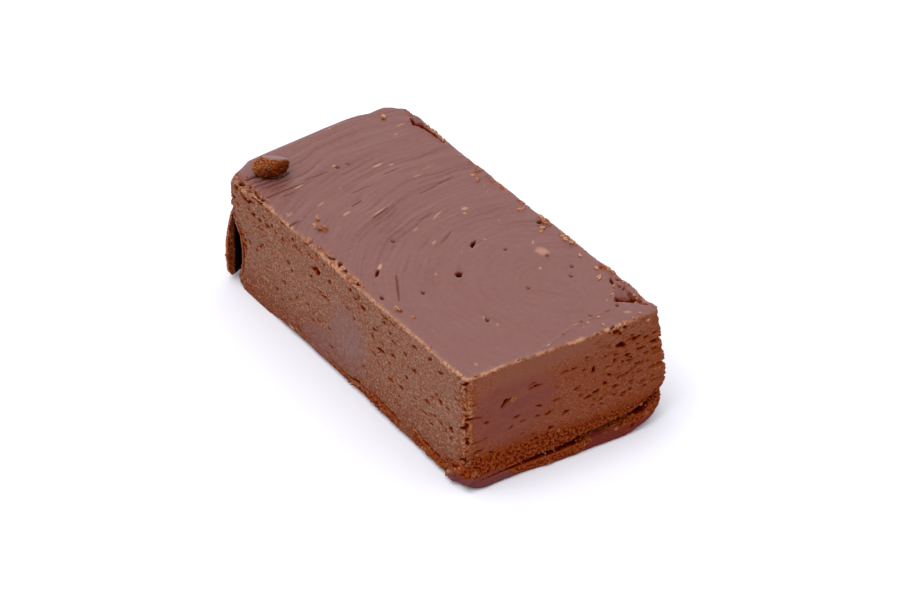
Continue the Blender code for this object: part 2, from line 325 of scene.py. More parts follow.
def fine_copy(node, name, voxel):
    """A copy of a model node with doubles merged and even faces `voxel` mm across."""
    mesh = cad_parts[node].data.copy()
    mesh.materials.clear()
    bm = bmesh.new()
    bm.from_mesh(mesh)
    bmesh.ops.remove_doubles(bm, verts=bm.verts, dist=1e-6)
    bm.to_mesh(mesh)
    bm.free()
    for extra in [a.name for a in mesh.attributes if not a.is_required and a.name[0] != "."]:
        mesh.attributes.remove(mesh.attributes[extra])
    obj = add_object(name, mesh)
    make_even(obj, voxel)
    return obj


def make_even(obj, voxel):
    remesh = obj.modifiers.new("even", "REMESH")
    remesh.mode = "VOXEL"
    remesh.voxel_size = voxel * MM
    obj.data = evaluated_mesh(obj)
    obj.modifiers.clear()
    print(obj.name, "remeshed to", len(obj.data.polygons), "faces")


SLAB_VOXEL = 0.2
fudge = fine_copy("fudge_slab", "fudge_bar", SLAB_VOXEL)


# %% Settle the foot of the short cut
def points_of(mesh, attribute=None):
    """Vertex positions, or a vector attribute, as a numpy table."""
    table = np.empty(len(mesh.vertices) * 3, np.float32)
    if attribute is None:
        mesh.vertices.foreach_get("co", table)
    else:
        mesh.attributes[attribute].data.foreach_get("vector", table)
    return table.reshape(-1, 3)


def write_points(mesh, place):
    mesh.vertices.foreach_set("co", place.ravel())
    mesh.update()


def write_note(mesh, name, values):
    """Stores one number for every point."""
    mesh.attributes.new(name, "FLOAT", "POINT").data.foreach_set("value", values)


def smooth_step(values, start, end):
    """0 up to `start`, 1 from `end` on, and a soft step between them."""
    t = np.clip((values - start) / (end - start), 0.0, 1.0)
    return t * t * (3.0 - 2.0 * t)


def settle_foot(mesh):
    """Crumbly fudge has sunk forwards over the lip at the left, down to a thin cleft."""
    place = points_of(mesh)
    x, y, z = (place - np.array(DATUM, np.float32)).T / MM
    near = smooth_step(x, 40.0, 41.5)
    forwards = 1.1 * np.clip((5.0 - y) / 19.0, 0.0, 1.0)
    forwards *= smooth_step(z, 2.15, 2.5) * smooth_step(z, 6.5, 3.0)
    downwards = 0.95 * smooth_step(y, 13.0, 1.0)
    downwards *= smooth_step(z, 2.3, 2.8) * smooth_step(z, 5.5, 3.2)
    place[:, 0] += near * forwards * MM
    place[:, 2] -= near * downwards * MM
    write_points(mesh, place)


settle_foot(fudge.data)
make_even(fudge, SLAB_VOXEL)

# %% [markdown]
# ## The bar, step two: relief
#
# A Geometry Nodes tree moves every point along its normal: in at holes and strokes, out at
# crumbs and along the ragged edges. It also leaves notes for the shader in attributes:
# `raw`, the resting place; `sides` and `ends`, which way the point faced at first; `zones`,
# how far it is open cut, crumbly, and close to a torn edge.


# %% Small tools for geometry trees
def new_tree(name, inputs, material=False):
    """A Geometry Nodes tree with one geometry in and out, and named inputs."""
    tree = bpy.data.node_groups.new(name, "GeometryNodeTree")
    tree.interface.new_socket("Geometry", in_out="INPUT", socket_type="NodeSocketGeometry")
    for title, value in inputs.items():
        kind = "NodeSocketVector" if isinstance(value, tuple) else "NodeSocketFloat"
        if isinstance(value, int):
            kind = "NodeSocketInt"
        socket = tree.interface.new_socket(title, in_out="INPUT", socket_type=kind)
        socket.default_value = value
    if material:
        tree.interface.new_socket("Material", in_out="INPUT", socket_type="NodeSocketMaterial")
    tree.interface.new_socket("Geometry", in_out="OUTPUT", socket_type="NodeSocketGeometry")
    g = Graph(tree)
    return g, g.given()


def keep(g, geometry, name, value, kind="FLOAT_VECTOR", domain="POINT"):
    """Stores a field under a name."""
    inputs = {"Name": name, "Geometry": geometry, "Value": value}
    node = "GeometryNodeStoreNamedAttribute"
    return g.read(node, inputs, "Geometry", data_type=kind, domain=domain)


def named(g, name, kind="FLOAT_VECTOR"):
    """Reads a stored field."""
    return g.read("GeometryNodeInputNamedAttribute", {"Name": name}, "Attribute", data_type=kind)


def grow(geometry_tree, obj, **values):
    """Runs a tree on an object, applies it, and takes the modifier off again."""
    modifier = obj.modifiers.new(geometry_tree.name, "NODES")
    modifier.node_group = geometry_tree
    for item in geometry_tree.interface.items_tree:
        if item.in_out == "INPUT" and item.name in values:
            modifier[item.identifier] = values[item.name]
    obj.data = evaluated_mesh(obj)
    obj.modifiers.clear()
    print(obj.name, "after", geometry_tree.name, "has", len(obj.data.vertices), "points")


def own_place(g, datum):
    """The point's place in mm off the datum, and its normal."""
    position = g.read("GeometryNodeInputPosition")
    normal = g.read("GeometryNodeInputNormal")
    return g.scaled(g.vector_math("SUBTRACT", position, datum), 1000.0), normal


def moved(g, geometry, offset):
    return g.read("GeometryNodeSetPosition", {"Geometry": geometry, "Offset": offset}, "Geometry")


def granules(g, place, size):
    """Rounded grains about `size` across with creases between them, about -0.5 to 0.5."""
    distance, colour = g.cells(g.bent(place, place, size, 1.0, 0.7 * size), size)
    height, _, _ = g.parts(colour)
    dome = g.ramp(distance, 0.75, 0.05)
    return dome * 0.75 + height * 0.5 - 0.62


def two_granules(g, place):
    """Two sizes of grain together."""
    return granules(g, place, 0.58) * 0.6 + granules(g, place, 0.36) * 0.4


# %% [markdown]
# Four rubbed patches stay smooth and mauve: the knife smeared the long cut in its middle
# and along its foot, and it pressed most of the left half of the short cut.

# %% Where each kind of surface lies
SMEAR = ((2.4, 10.2), (6.6, 7.6))
LOW_SMEAR = ((-6.5, 4.6), (8.5, 4.4))
SKIN = ((-11.0, 15.4), (9.3, 8.4))
SKIN_BAND = ((-5.0, 23.2), (13.0, 1.5))
# Where fudge came away along the rear edge of the top: x in the middle, half length.
REAR_TEARS = (
    (-41, 1.2), (-31.5, 3.8), (-18, 0.7), (-11, 0.8), (-8, 1.3), (-1.2, 1.4), (7, 2), (14.8, 2.5),
    (27.5, 2.4), (32.5, 2.2), (38.5, 2.4),
)


def patch(g, across, up, place, ragged, start=1.25, end=0.60):
    """An oval on a face, 1 inside and 0 outside, with an uneven edge."""
    (u0, v0), (half_u, half_v) = place
    u = (across - u0) / half_u
    v = (up - v0) / half_v
    size = g.length(u, v)
    return g.ramp(size + ragged, start, end)


def facings(g, place, normal):
    """Which side a point lies on: front, near, rear, top, floor and far, each 0 to 1."""
    nx, ny, nz = g.parts(normal)
    x, _, z = g.parts(place)
    front = g.ramp(ny * -1.0, 0.45, 0.8) * g.ramp(x, -43.5, -40.5)
    near = g.ramp(nx, 0.45, 0.8) * g.ramp(x, 30.0, 36.0)
    rear = g.ramp(ny, 0.45, 0.8) * g.ramp(x, -45.0, -41.5)
    top = g.ramp(nz, 0.5, 0.9) * g.ramp(z, 18.0, 21.0)
    floor = g.ramp(nz * -1.0, 0.5, 0.9)
    far = g.ramp(nx * -1.0, 0.3, 0.7)
    return front, near, rear, top, floor, far


def broken_rim(g, place, ragged):
    """Where the top breaks up: its whole rim, the bulge over the long cut, the rear tears."""
    x, y, _ = g.parts(place)
    wander = (g.noise(place, 4.5, 2.0) - 0.5) * 2.4
    corner = g.ramp(x, -26.5, -30.0) * g.ramp(y + ragged, -19.0, -20.2)
    bulge = g.ramp(x, -10.5, -8.5) * g.ramp(x, 9.0, 6.5) * g.ramp(y + ragged, -19.3, -20.3)
    tears = 0.10
    for middle, half in REAR_TEARS:
        away = g.math("ABSOLUTE", x - middle) + ragged * 1.5
        tears = g.most(tears, g.ramp(away, half + 0.6, half - 0.5))
    behind = g.ramp(y + wander, 20.4, 21.2) * g.ramp(tears, 0.3, 0.8)
    ahead = g.ramp(y + wander, -21.2, -21.8)
    at_end = g.ramp(x + wander, 42.9, 43.6) * g.ramp(y, -24.0, -18.0)
    return g.most(corner, bulge, behind, ahead, at_end), bulge, tears


def rubbed(g, place, front, near, ragged):
    """Where the knife rubbed a cut smooth."""
    x, y, z = g.parts(place)
    low = patch(g, x, z, LOW_SMEAR, ragged, 1.5, 0.2) * 0.7
    smear = g.most(patch(g, x, z, SMEAR, ragged, 1.45, 0.25), low)
    skin = g.most(patch(g, y, z, SKIN, ragged), patch(g, y, z, SKIN_BAND, ragged))
    return g.most(front * smear * 0.85, near * skin * 0.9)


# %% Where the ground is crumbly
EDGE_BLUR = 14


def crumbly_ground(g, place, normal, sides, frayed, ragged):
    """Crumbly ground, the skin on the lip, and the torn inside of the flap."""
    front, near, rear, floor = sides
    nx, _, nz = g.parts(normal)
    x, y, z = g.parts(place)
    uneven = z + ragged * 3.2

    # The feet of the three cuts.
    near_foot = near * g.ramp(uneven, 7.6, 5.0)
    foot_top = 2.2 + g.ramp(x, 8.0, 12.0) * 1.3
    torn_foot = g.most(g.ramp(x, -5.5, -3.5) * g.ramp(x, 22.0, 19.5), g.ramp(x, 23.5, 26.5))
    front_foot = front * g.ramp(uneven - foot_top, 0.9, -0.9) * (0.18 + torn_foot * 0.82)
    rear_foot = rear * g.ramp(uneven, 4.2, 1.8)

    # The lip under the short cut: a crumbly ledge with skin below it.
    climb = g.most(y - 12.0, 0.0) * 0.35
    ledge = g.ramp(x, 41.0, 42.5) * g.ramp(z - climb, 4.6, 3.2) * g.ramp(nz, 0.1, 0.5)
    skin_top = g.ramp(y, -10.0, -14.0, 0.1, 2.5) + g.ramp(y, 2.5, 6.5, 0.1, 2.2)
    lip_skin = g.ramp(x, 36.5, 38.5) * g.ramp(z - skin_top, 0.35, 0.0)

    # The upright corners, the clump at the foot of the near one, and the flap.
    left_post = near * g.ramp(y + ragged, -18.4, -20.2)
    right_post = front * g.ramp(x + ragged, 39.0, 41.5)
    rear_post = g.ramp(x + y + ragged, 62.4, 63.8) * g.ramp(z, 5.5, 7.5)
    rise = g.most((x - 38.0) * 0.6, 0.0)
    clump = g.ramp(x, 35.3, 36.8) * g.ramp(y, -16.5, -18.0) * g.ramp(uneven - rise, 5.2, 3.4)
    torn = g.ramp(x, -40.3, -41.2) * g.ramp(z, 18.0, 15.0) * g.ramp(nx, -0.55, 0.0)

    crumbly = g.most(near_foot, front_foot, rear_foot, ledge, clump)
    crumbly = g.most(crumbly, left_post * 0.55, right_post * 0.55, rear_post * 0.35)
    crumbly = g.most(crumbly, frayed * 0.35, torn * g.ramp(y, -20.0, -21.0) * 0.6)
    return crumbly * (1.0 - lip_skin) * (1.0 - floor), lip_skin, torn


def tan_edge(g, place, top, cut, near, bulge, tears, ragged):
    """Where the rim of the top is broken and tan, and where a tan painted highlight runs down the
    upright near corner.
    """
    _, y, z = g.parts(place)
    patchy = g.ramp(g.noise(place, 3.5, 3.0, 0.6), 0.36, 0.58, 0.15, 1.0)
    around = g.blurred(top, EDGE_BLUR) * g.blurred(cut, EDGE_BLUR) * 4.0
    edge = g.ramp(around, 0.3, 0.9) * g.ramp(z, 18.0, 21.0) * patchy
    edge = edge * g.most(tears, g.ramp(y, 18.0, 15.0))
    # A painted highlight along the upright near corner.
    corner_highlight = near * g.ramp(y + ragged, -21.0, -20.5) * g.ramp(y + ragged, -19.5, -20.0)
    return g.most(edge, top * bulge * patchy * 0.75, corner_highlight * g.ramp(z, 5.0, 8.0) * patchy * 0.5)


# %% Relief tree
def relief_tree():
    settings = {
        "Datum": (0.0, 0.0, 0.0),
        "Wide Depth": 0.55,
        "Fine Depth": 0.25,
        "Grain": 0.22,
        "Crumble": 0.70,
        "Edge": 0.50,
        "Strokes": 0.28,
    }
    g, given = new_tree("fudge_relief", settings)
    place, normal = own_place(g, given["Datum"])
    front, near, rear, top, floor, far = facings(g, place, normal)
    cut = g.most(front, near, rear)
    ragged = g.noise(place, 2.2, 3.0) - 0.5
    rim, bulge, tears = broken_rim(g, place, ragged)
    frayed = top * rim
    open_cut = g.most(cut * (1.0 - rubbed(g, place, front, near, ragged)), frayed)
    sides = (front, near, rear, floor)
    crumbly, lip_skin, torn = crumbly_ground(g, place, normal, sides, frayed, ragged)
    edge = tan_edge(g, place, top, cut, near, bulge, tears, ragged)

    notes = {
        "raw": place,
        "sides": g.vector(front, near, rear),
        "ends": g.vector(top, floor, far),
        "zones": g.vector(open_cut, crumbly, edge),
        "spots": g.vector(lip_skin, torn, 0.0),
    }
    geometry = given["Geometry"]
    for name, value in notes.items():
        geometry = keep(g, geometry, name, value)

    wide, fine = both_holes(g, place, front, near)
    bare = open_cut * (1.0 - crumbly)
    grain = g.least(mottle(g, place), 0.53) - 0.5
    lumps = g.noise(place, 1.6, 3.0, 0.65) - 0.5
    coarse = two_granules(g, place) + lumps * 0.8
    tatter = granules(g, place, 0.9) * 0.35 + lumps * 1.6
    shift = wide * given["Wide Depth"] * bare * -1.0 - fine * given["Fine Depth"] * bare
    shift = shift + grain * given["Grain"] * 4.0 * open_cut + coarse * given["Crumble"] * crumbly
    shift = shift + tatter * given["Edge"] * edge + all_strokes(g, place) * given["Strokes"] * top
    above_floor = g.ramp(g.parts(place)[2], 0.0, 0.5)
    offset = g.scaled(normal, shift * above_floor * MM)
    g.node("NodeGroupOutput", {0: moved(g, geometry, offset)})
    return g.tree


grow(relief_tree(), fudge, Datum=tuple(DATUM))

# %% [markdown]
# ## The bar, step three: marks with a place of their own
#
# Some marks are too particular for noise: the big holes, the nicks in the top, the grooves
# in front of the large crumb and the trench that carries its painted shadow, the cleft over
# the lip, the torn notch at the near rear corner. Most are one row of a table. They are
# pressed in with numpy, all points at once, and an attribute notes where, so that the
# shader can paint shade into them. A negative depth raises a bump.

# %% Marks on the top
# x, y, half length, half width, turn in degrees, depth.
TOP_MARKS = (
    (5.8, 5.15, 1.15, 0.36, 130, 1.2), (13, -2.9, 0.9, 0.62, 140, 1.2),
    (14.6, -3.8, 0.6, 0.35, 140, -0.2), (22.7, 16.4, 0.45, 0.3, 140, 0.6),
    (25.3, 14.3, 0.4, 0.35, 0, 0.6), (28.7, -7.1, 0.65, 0.3, 165, 0.7),
    (14.5, -12, 0.5, 0.32, 160, 0.6), (10.9, 9.2, 0.45, 0.3, 130, 0.5),
    (-3.4, -7.2, 0.45, 0.35, 0, 0.5), (11.8, -19.4, 0.7, 0.3, 160, 0.6),
    (-31.8, 0.4, 0.4, 0.3, 0, 0.4), (-31.8, -2, 0.4, 0.5, 0, 0.6), (-37, -21.2, 0.7, 0.5, 0, 1),
    (-4.8, -20.1, 0.8, 0.4, 20, 0.9), (-2.3, -19.8, 0.75, 0.4, 150, 0.9),
    (5.4, -20.6, 0.6, 0.4, 160, 0.8), (19.3, -21.6, 0.6, 0.35, 160, 0.7),
    (37, -21.6, 0.6, 0.35, 160, 0.7), (6.6, 20.4, 0.45, 0.8, 0, 0.9),
    (43.6, 10.7, 0.75, 0.4, 130, 1), (38.1, 9.6, 0.4, 0.3, 0, 0.35),
    (38.1, 15.8, 0.5, 0.28, 150, 0.5), (30.9, 19.7, 1.1, 0.28, 155, 0.8),
    (32.6, 20.2, 0.5, 0.25, 20, 0.5), (40, 20, 1.3, 0.3, 40, 0.9),
    (-37.2, 21.2, 1.9, 0.9, 0, -0.45), (15.5, 14.5, 1.7, 1.2, 0, -0.12),
    (31.1, 21, 0.4, 0.35, 0, 0.6), (33.6, 20.6, 0.3, 0.3, 0, 0.5), (36.9, 20, 0.9, 0.45, -30, 0.9),
    (38.3, 20.8, 0.6, 0.4, -30, 0.7), (45, 11.6, 0.4, 0.5, 0, 0.9),
    (44.4, 9.2, 0.6, 0.4, -30, 0.7), (-43.2, 21.6, 0.4, 0.3, 0, 0.6),
    (-29.6, -20.6, 0.7, 0.35, -20, 0.8), (-20, -21.6, 0.5, 0.3, 0, 0.6),
    (0.3, -20.3, 0.6, 0.35, -30, 0.8), (28, -21.7, 0.5, 0.3, 20, 0.6),
    (43, -5, 0.5, 0.6, 0, -0.25), (42.8, -9.5, 0.5, 0.9, 0, -0.3), (42.7, -14, 0.5, 0.8, 0, -0.3),
    (42.8, -18.4, 0.6, 0.9, 0, -0.35), (6.8, 21.3, 1.7, 0.8, 0, -0.45),
    (14.6, 21.4, 2.4, 0.7, 0, -0.3), (27.4, 21.4, 2, 0.7, 0, -0.4),
    (34.6, 21.4, 1.9, 0.9, 0, -0.45), (-12, 21.4, 1.2, 0.6, 0, -0.3),
    (-36.4, -20.9, 0.5, 0.25, -40, 0.7), (-33.6, -21.3, 0.6, 0.25, 20, 0.7),
    (-31.6, -20.7, 0.5, 0.25, -20, 0.7), (-34.9, -20.3, 0.4, 0.3, 0, 0.7),
)
# Trenches in the top: the points of the line, half width, depth.
TOP_TRENCHES = (
    (((-39.7, 20.2), (-36.8, 19.4), (-34.6, 20.6), (-31, 20.7), (-28, 20.9)), 0.45, 1),
    (((-33.4, -11.6), (-33.3, -18)), 0.36, 0.5), (((-32.2, -12.5), (-32, -17)), 0.22, 0.3),
    (((-30.4, -10.5), (-30.2, -15), (-29.8, -20.5)), 0.3, 0.45),
    (((-28.7, -13), (-28.4, -17.5)), 0.2, 0.25), (((-31.5, -4), (-31.2, -10.5)), 0.24, 0.2),
    (((-37.6, -15.5), (-37.5, -20.4)), 0.42, 0.55), (((-34.7, -15.2), (-34.5, -20.8)), 0.28, 0.45),
    (((-36, -15.5), (-35.7, -20)), 0.25, 0.4),
    # The next trench hugs the large crumb's right and lower edge: a real groove whose dark colour
    # is painted shadow of the crumb.
    (((-35.3, -11.3), (-35, -13), (-35.7, -15.1), (-37.6, -16.3)), 0.55, 0.9),
    (((-24.8, 8), (-24.4, 4)), 0.22, 0.2), (((-22.5, 1), (-22, -6)), 0.2, 0.16),
    (((-16.6, 15.5), (-14.6, 6)), 0.22, 0.2), (((-14, -1.5), (-13, -4), (-12.2, -6.5)), 0.25, 0.3),
    (((-18.8, -4.5), (-18, -7.5)), 0.28, 0.25), (((-7.8, 4.8), (-6.5, 0.5)), 0.3, 0.16),
    (((0, 4), (2.5, 0)), 0.3, 0.16), (((3.3, -14.7), (5.3, -16.6)), 0.36, 0.8),
    (((6.8, -13), (10, -14.8), (14.5, -17.3)), 0.3, 0.3),
    (((-19.2, -18.8), (-18.6, -21.5)), 0.3, 0.5), (((-33.4, -20.2), (-30, -21.1)), 0.32, 0.8),
    (((38.5, 13.4), (39.3, 4.8), (40.8, 0), (42.2, -4.3)), 0.3, -0.1),
)

# %% Marks on the long cut
# x, z, half length, half height, turn in degrees, depth.
FRONT_MARKS = (
    (-8.5, 20.4, 0.85, 0.8, 0, 2.4), (-9.9, 20.3, 0.6, 0.4, 10, 0.7),
    (-4.1, 20.4, 0.7, 0.4, 15, 0.8), (-30.7, 25.6, 1, 0.5, 20, 0.9),
    (-37.4, 24.6, 0.8, 0.6, 30, 1.1), (-34.5, 23.8, 1.4, 0.4, -18, 0.9),
    (-27.3, 20.7, 0.7, 0.4, 0, 0.8), (-29.7, 20.8, 0.45, 0.35, 0, 0.7),
    (-39.3, 19.1, 0.6, 0.45, 0, 0.8), (-36, 11, 0.6, 0.4, 40, 0.7),
    (-34.3, 13.3, 0.4, 0.55, 0, 0.7), (-31.6, 12.8, 0.6, 0.3, 20, 0.6),
    (-19.5, 16.4, 0.6, 0.4, 0, 0.8), (-18.2, 15.2, 0.5, 0.35, 30, 0.6),
    (-17.3, 23, 0.6, 0.35, 20, 0.7), (-12, 24.9, 0.8, 0.35, 25, 0.8),
    (-5.9, 23.3, 0.5, 0.3, 10, 0.5), (-10.8, 18, 0.6, 0.3, 30, 0.6),
    (-7.7, 16.1, 0.6, 0.3, 10, 0.6), (-24, 7.7, 0.65, 0.4, 10, 0.9),
    (-22, 6.3, 0.45, 0.3, 30, 0.6), (-18.9, 8.1, 0.3, 0.4, 0, 0.6),
    (-16.4, 9.9, 0.5, 0.3, 40, 0.6), (-8.3, 9, 0.65, 0.28, 0, 0.6), (-4.5, 9.3, 0.5, 0.3, 20, 0.7),
    (-4, 5.3, 0.7, 0.28, 10, 0.6), (-16, 2.7, 0.4, 0.7, 0, 0.9), (4.7, 17, 0.45, 0.3, 20, 0.6),
    (5.4, 21.9, 0.8, 0.25, 10, 0.6), (7.9, 21.2, 0.85, 0.45, -15, 0.9),
    (11.9, 18.6, 0.75, 0.3, 12, 0.7), (11.2, 16.6, 0.6, 0.38, 0, 0.8),
    (13.9, 15, 1.5, 0.38, 14, 0.9), (11.4, 12.6, 0.7, 0.3, -15, 0.7),
    (12.9, 11.3, 0.65, 0.3, -15, 0.7), (17.2, 10.2, 1, 0.36, 0, 0.7), (21, 10.8, 1.1, 0.3, 0, 0.7),
    (17.2, 20.7, 0.5, 0.28, 0, 0.6), (18.3, 16.3, 1, 0.28, 15, 0.6), (18.5, 19.4, 1, 0.25, 0, 0.5),
    (22.7, 19.3, 0.65, 0.4, 0, 0.8), (23.1, 14.2, 0.6, 0.35, 20, 0.7),
    (25.8, 22.6, 0.9, 0.3, 8, 0.8), (25.8, 17.3, 0.8, 0.32, 8, 0.8), (31, 23, 0.7, 0.35, 30, 0.8),
    (34.6, 22.1, 0.9, 0.25, 20, 0.7), (34.2, 15.2, 0.7, 0.45, -20, 0.8),
    (30, 12.8, 1, 0.3, 0, 0.6), (31.3, 8.5, 0.6, 0.3, 10, 0.6), (36.8, 15.3, 0.6, 0.3, 0, 0.6),
    (37.8, 11.2, 0.7, 0.55, 0, 1), (37.8, 9.1, 0.5, 0.3, 0, 0.6), (42.5, 14.4, 0.7, 0.6, 0, 1.4),
    (43, 11.6, 1.1, 0.35, 0, 0.9), (42.1, 18.2, 0.6, 0.3, 10, 0.7), (42.7, 6, 0.9, 0.9, 0, 0.9),
    (42.6, 24.2, 0.9, 0.4, 35, 0.9), (38.9, 1.9, 1.1, 1.2, 0, -0.6),
    (40.8, 3.6, 0.8, 0.7, 0, -0.5), (42, 5, 0.7, 0.6, 0, -0.4), (-38.2, 15.4, 0.8, 0.35, -35, 0.8),
    (-37.4, 14.2, 0.8, 0.3, -35, 0.7), (-36.4, 12.9, 0.9, 0.35, -30, 0.8),
    (-36.9, 11.2, 0.8, 0.35, -35, 0.8), (-37.9, 12.6, 0.7, 0.3, -30, 0.7),
    (-36.2, 9.8, 0.7, 0.3, -40, 0.6), (-37.4, 9.4, 0.7, 0.35, -60, 0.8),
    (-37.4, 7.2, 0.4, 0.7, 0, 0.7), (-38.9, 17.4, 0.6, 0.6, 0, 1), (-39.4, 18.9, 0.7, 0.4, 0, 0.8),
    (-38.6, 21.8, 0.7, 0.3, 20, 0.7), (-35, 14.8, 0.5, 0.3, -20, 0.6),
    (-33, 21.9, 0.5, 0.3, 0, 0.7), (-31.4, 21.3, 0.5, 0.35, 0, 0.7),
    (-33.6, 19.6, 0.5, 0.3, 0, 0.7), (-25.6, 21.5, 0.5, 0.3, 0, 0.6),
    (-24, 20.9, 0.6, 0.3, 10, 0.6), (-21.2, 21, 0.5, 0.3, 0, 0.6), (-28.4, 22.2, 0.4, 0.3, 0, 0.6),
    (-30, 14.4, 0.7, 0.25, 15, 0.5), (-15, 21.8, 1.3, 0.2, 0, 0.5),
    (-12.2, 10.6, 0.8, 0.25, 0, 0.5), (-6, 15.7, 1.6, 0.25, 8, 0.5),
    (3.6, 22.9, 0.6, 0.35, 30, 0.7), (6.6, 22.9, 0.4, 0.4, 0, 0.6), (15.2, 22, 0.5, 0.3, 30, 0.6),
    (14.5, 17, 1, 0.2, 0, 0.4), (17.2, 13.9, 0.7, 0.22, 0, 0.5), (14.6, 10.9, 0.4, 0.25, 30, 0.5),
    (7.6, 7.6, 0.5, 0.25, 20, 0.6), (20.6, 8.5, 0.4, 0.22, 40, 0.5), (23.8, 17, 0.5, 0.22, 0, 0.5),
    (25.8, 11, 0.4, 0.25, 20, 0.5), (32.6, 11, 0.35, 0.45, 0, 0.6),
    (31.2, 10.6, 0.5, 0.25, 0, 0.5), (34.4, 10.6, 0.7, 0.3, 0, 0.6),
    (36.2, 9.9, 0.6, 0.25, 0, 0.5), (39.8, 19.2, 0.8, 0.22, 0, 0.5), (32.8, 16, 0.6, 0.25, 0, 0.5),
)
# Trenches along its foot, and cracks at its corners: x and z of the points.
FRONT_TRENCHES = (
    (((-4.4, 2.3), (3, 2.2), (10.5, 2.9)), 0.3, 0.7),
    (((10.5, 3.4), (14, 3.1), (17.5, 2.9), (21.5, 2.6)), 0.38, 0.9),
    (((24.5, 4.8), (29, 3), (33, 2.7), (37.5, 2.6)), 0.42, 1),
    (((-38.4, 16.4), (-37.5, 11), (-37.4, 6), (-38, 3.2)), 0.65, 0.45),
    (((-40.2, 19.2), (-39, 16.8)), 0.5, 0.6),
    (((-35.3, 2.4), (-34.2, 1.4), (-33.2, 0.7)), 0.4, 0.7),
    (((40.6, 13.2), (42.6, 14.4), (43.4, 15.2)), 0.35, 0.9),
    (((41.2, 23.3), (42.4, 23.9), (43.6, 25.2)), 0.35, 0.9),
    (((40.5, 6), (42.6, 7.2), (43.8, 8.2)), 0.4, 0.9), (((-37.6, 17.5), (-36.6, 14)), 0.3, 0.7),
    (((-37, 13.2), (-35.6, 10)), 0.28, 0.6), (((-37.2, 9.8), (-36.4, 7.6)), 0.3, 0.6),
    (((-35.4, 24.6), (-34, 23.4), (-32.4, 23)), 0.35, 0.8),
)

# %% Marks on the short cut
# y, z, half length, half height, turn in degrees, depth.
NEAR_MARKS = (
    (-12.3, 16.7, 1.3, 0.45, 42, 0.9), (-6.5, 18.5, 0.8, 0.2, 6, 0.5),
    (-5.8, 17.7, 1.3, 0.25, 4, 0.7), (-16.5, 13.7, 0.55, 0.3, -20, 0.7),
    (-9.8, 12.3, 0.85, 0.25, 5, 0.6), (-4.8, 12.9, 0.8, 0.25, -20, 0.6),
    (-8.3, 10.8, 0.7, 0.25, 0, 0.5), (-11, 10.4, 0.6, 0.25, 20, 0.5),
    (-2.8, 10.6, 0.9, 0.3, 20, 0.7), (-5.2, 10.7, 0.7, 0.22, -5, 0.5),
    (-2.2, 7, 0.6, 0.35, 0, 0.7), (2.3, 19, 0.8, 0.25, 5, 0.6), (6.8, 17, 0.42, 0.7, 0, 1.2),
    (3.2, 14.1, 0.8, 0.3, 20, 0.6), (5.7, 11.2, 0.9, 0.3, 0, 0.7), (7.5, 11.7, 0.8, 0.35, 0, 0.8),
    (9.6, 12.8, 0.5, 0.35, -40, 0.6), (11.8, 11.3, 0.8, 0.3, 0, 0.6),
    (13.6, 13.2, 1.4, 0.24, 0, 0.6), (11.5, 17.3, 0.4, 0.5, 0, 0.8),
    (14.5, 17.4, 0.7, 0.4, -20, 0.8), (12.8, 20.3, 1.1, 0.55, -15, 0.9),
    (13.6, 19.8, 0.5, 0.4, 20, 0.7), (15.5, 21.5, 0.45, 0.25, 0, 0.5),
    (16.4, 20.4, 1.3, 0.28, 12, 0.7), (18.7, 19.9, 0.6, 0.3, 0, 0.7),
    (17.6, 17.7, 0.9, 0.3, 0, 0.7), (21.2, 18.1, 0.9, 0.35, 10, 0.8),
    (17.3, 14.5, 1.2, 0.22, -10, 0.6), (15.3, 9.3, 0.4, 0.3, 0, 0.6),
    (18.2, 9.9, 0.9, 0.28, 10, 0.6), (-21.2, 14.5, 0.6, 0.9, 0, 1),
    (-20.5, 16, 1.2, 0.3, -15, 0.7), (-20.8, 11, 0.8, 0.3, -40, 0.7),
    (-18.5, 7.8, 1.2, 0.3, 0, 0.6), (11.6, 23.6, 0.9, 0.5, 0, 0.6),
    (12.6, 22.9, 0.4, 0.35, 0, 0.6), (13.6, 24, 0.5, 0.4, 0, 0.7), (10.2, 24.2, 0.4, 0.3, 0, 0.6),
    (-11.2, 17.4, 0.9, 0.7, 0, -0.5), (0.4, 18.9, 0.8, 0.22, 8, 0.5),
    (4.6, 17.8, 0.5, 0.22, -20, 0.6), (-1.2, 13, 0.8, 0.22, 12, 0.6),
    (0.8, 9.6, 0.8, 0.3, 25, 0.7), (15, 15.9, 0.9, 0.2, -15, 0.6),
    (10.5, 14.4, 0.6, 0.25, -30, 0.6), (20.2, 12.4, 0.6, 0.25, 0, 0.6),
    (18.9, 16.2, 0.5, 0.3, 0, 0.7), (20.6, 20.2, 0.8, 0.25, 12, 0.7), (13.8, 9, 0.7, 0.3, 0, 0.6),
    (8.6, 9.6, 0.6, 0.25, 20, 0.6), (5, 20.4, 0.4, 0.25, 0, 0.5), (9.4, 19, 0.5, 0.22, 10, 0.5),
    (11.6, 18.6, 0.5, 0.25, 0, 0.6), (13.4, 16.3, 0.5, 0.22, -10, 0.5),
    (16.8, 19, 0.5, 0.22, 0, 0.5), (19.8, 18.4, 0.5, 0.22, 15, 0.6),
    (20.8, 16.6, 0.7, 0.25, 0, 0.6), (19.4, 14.2, 0.5, 0.22, -20, 0.5),
    (17.4, 12.6, 0.8, 0.22, 0, 0.5), (15.6, 11.2, 0.6, 0.22, 10, 0.5),
    (18.8, 8.6, 0.6, 0.22, 0, 0.5), (20.4, 10.2, 0.6, 0.22, 15, 0.5), (6.6, 9, 0.5, 0.22, 0, 0.5),
    (4, 12.3, 0.5, 0.22, 0, 0.5), (-16.9, 10.1, 0.8, 0.2, 0, 0.4),
    (-15.2, 6.3, 0.7, 0.22, -25, 0.5), (-6, 6.8, 0.5, 0.25, 0, 0.5),
)
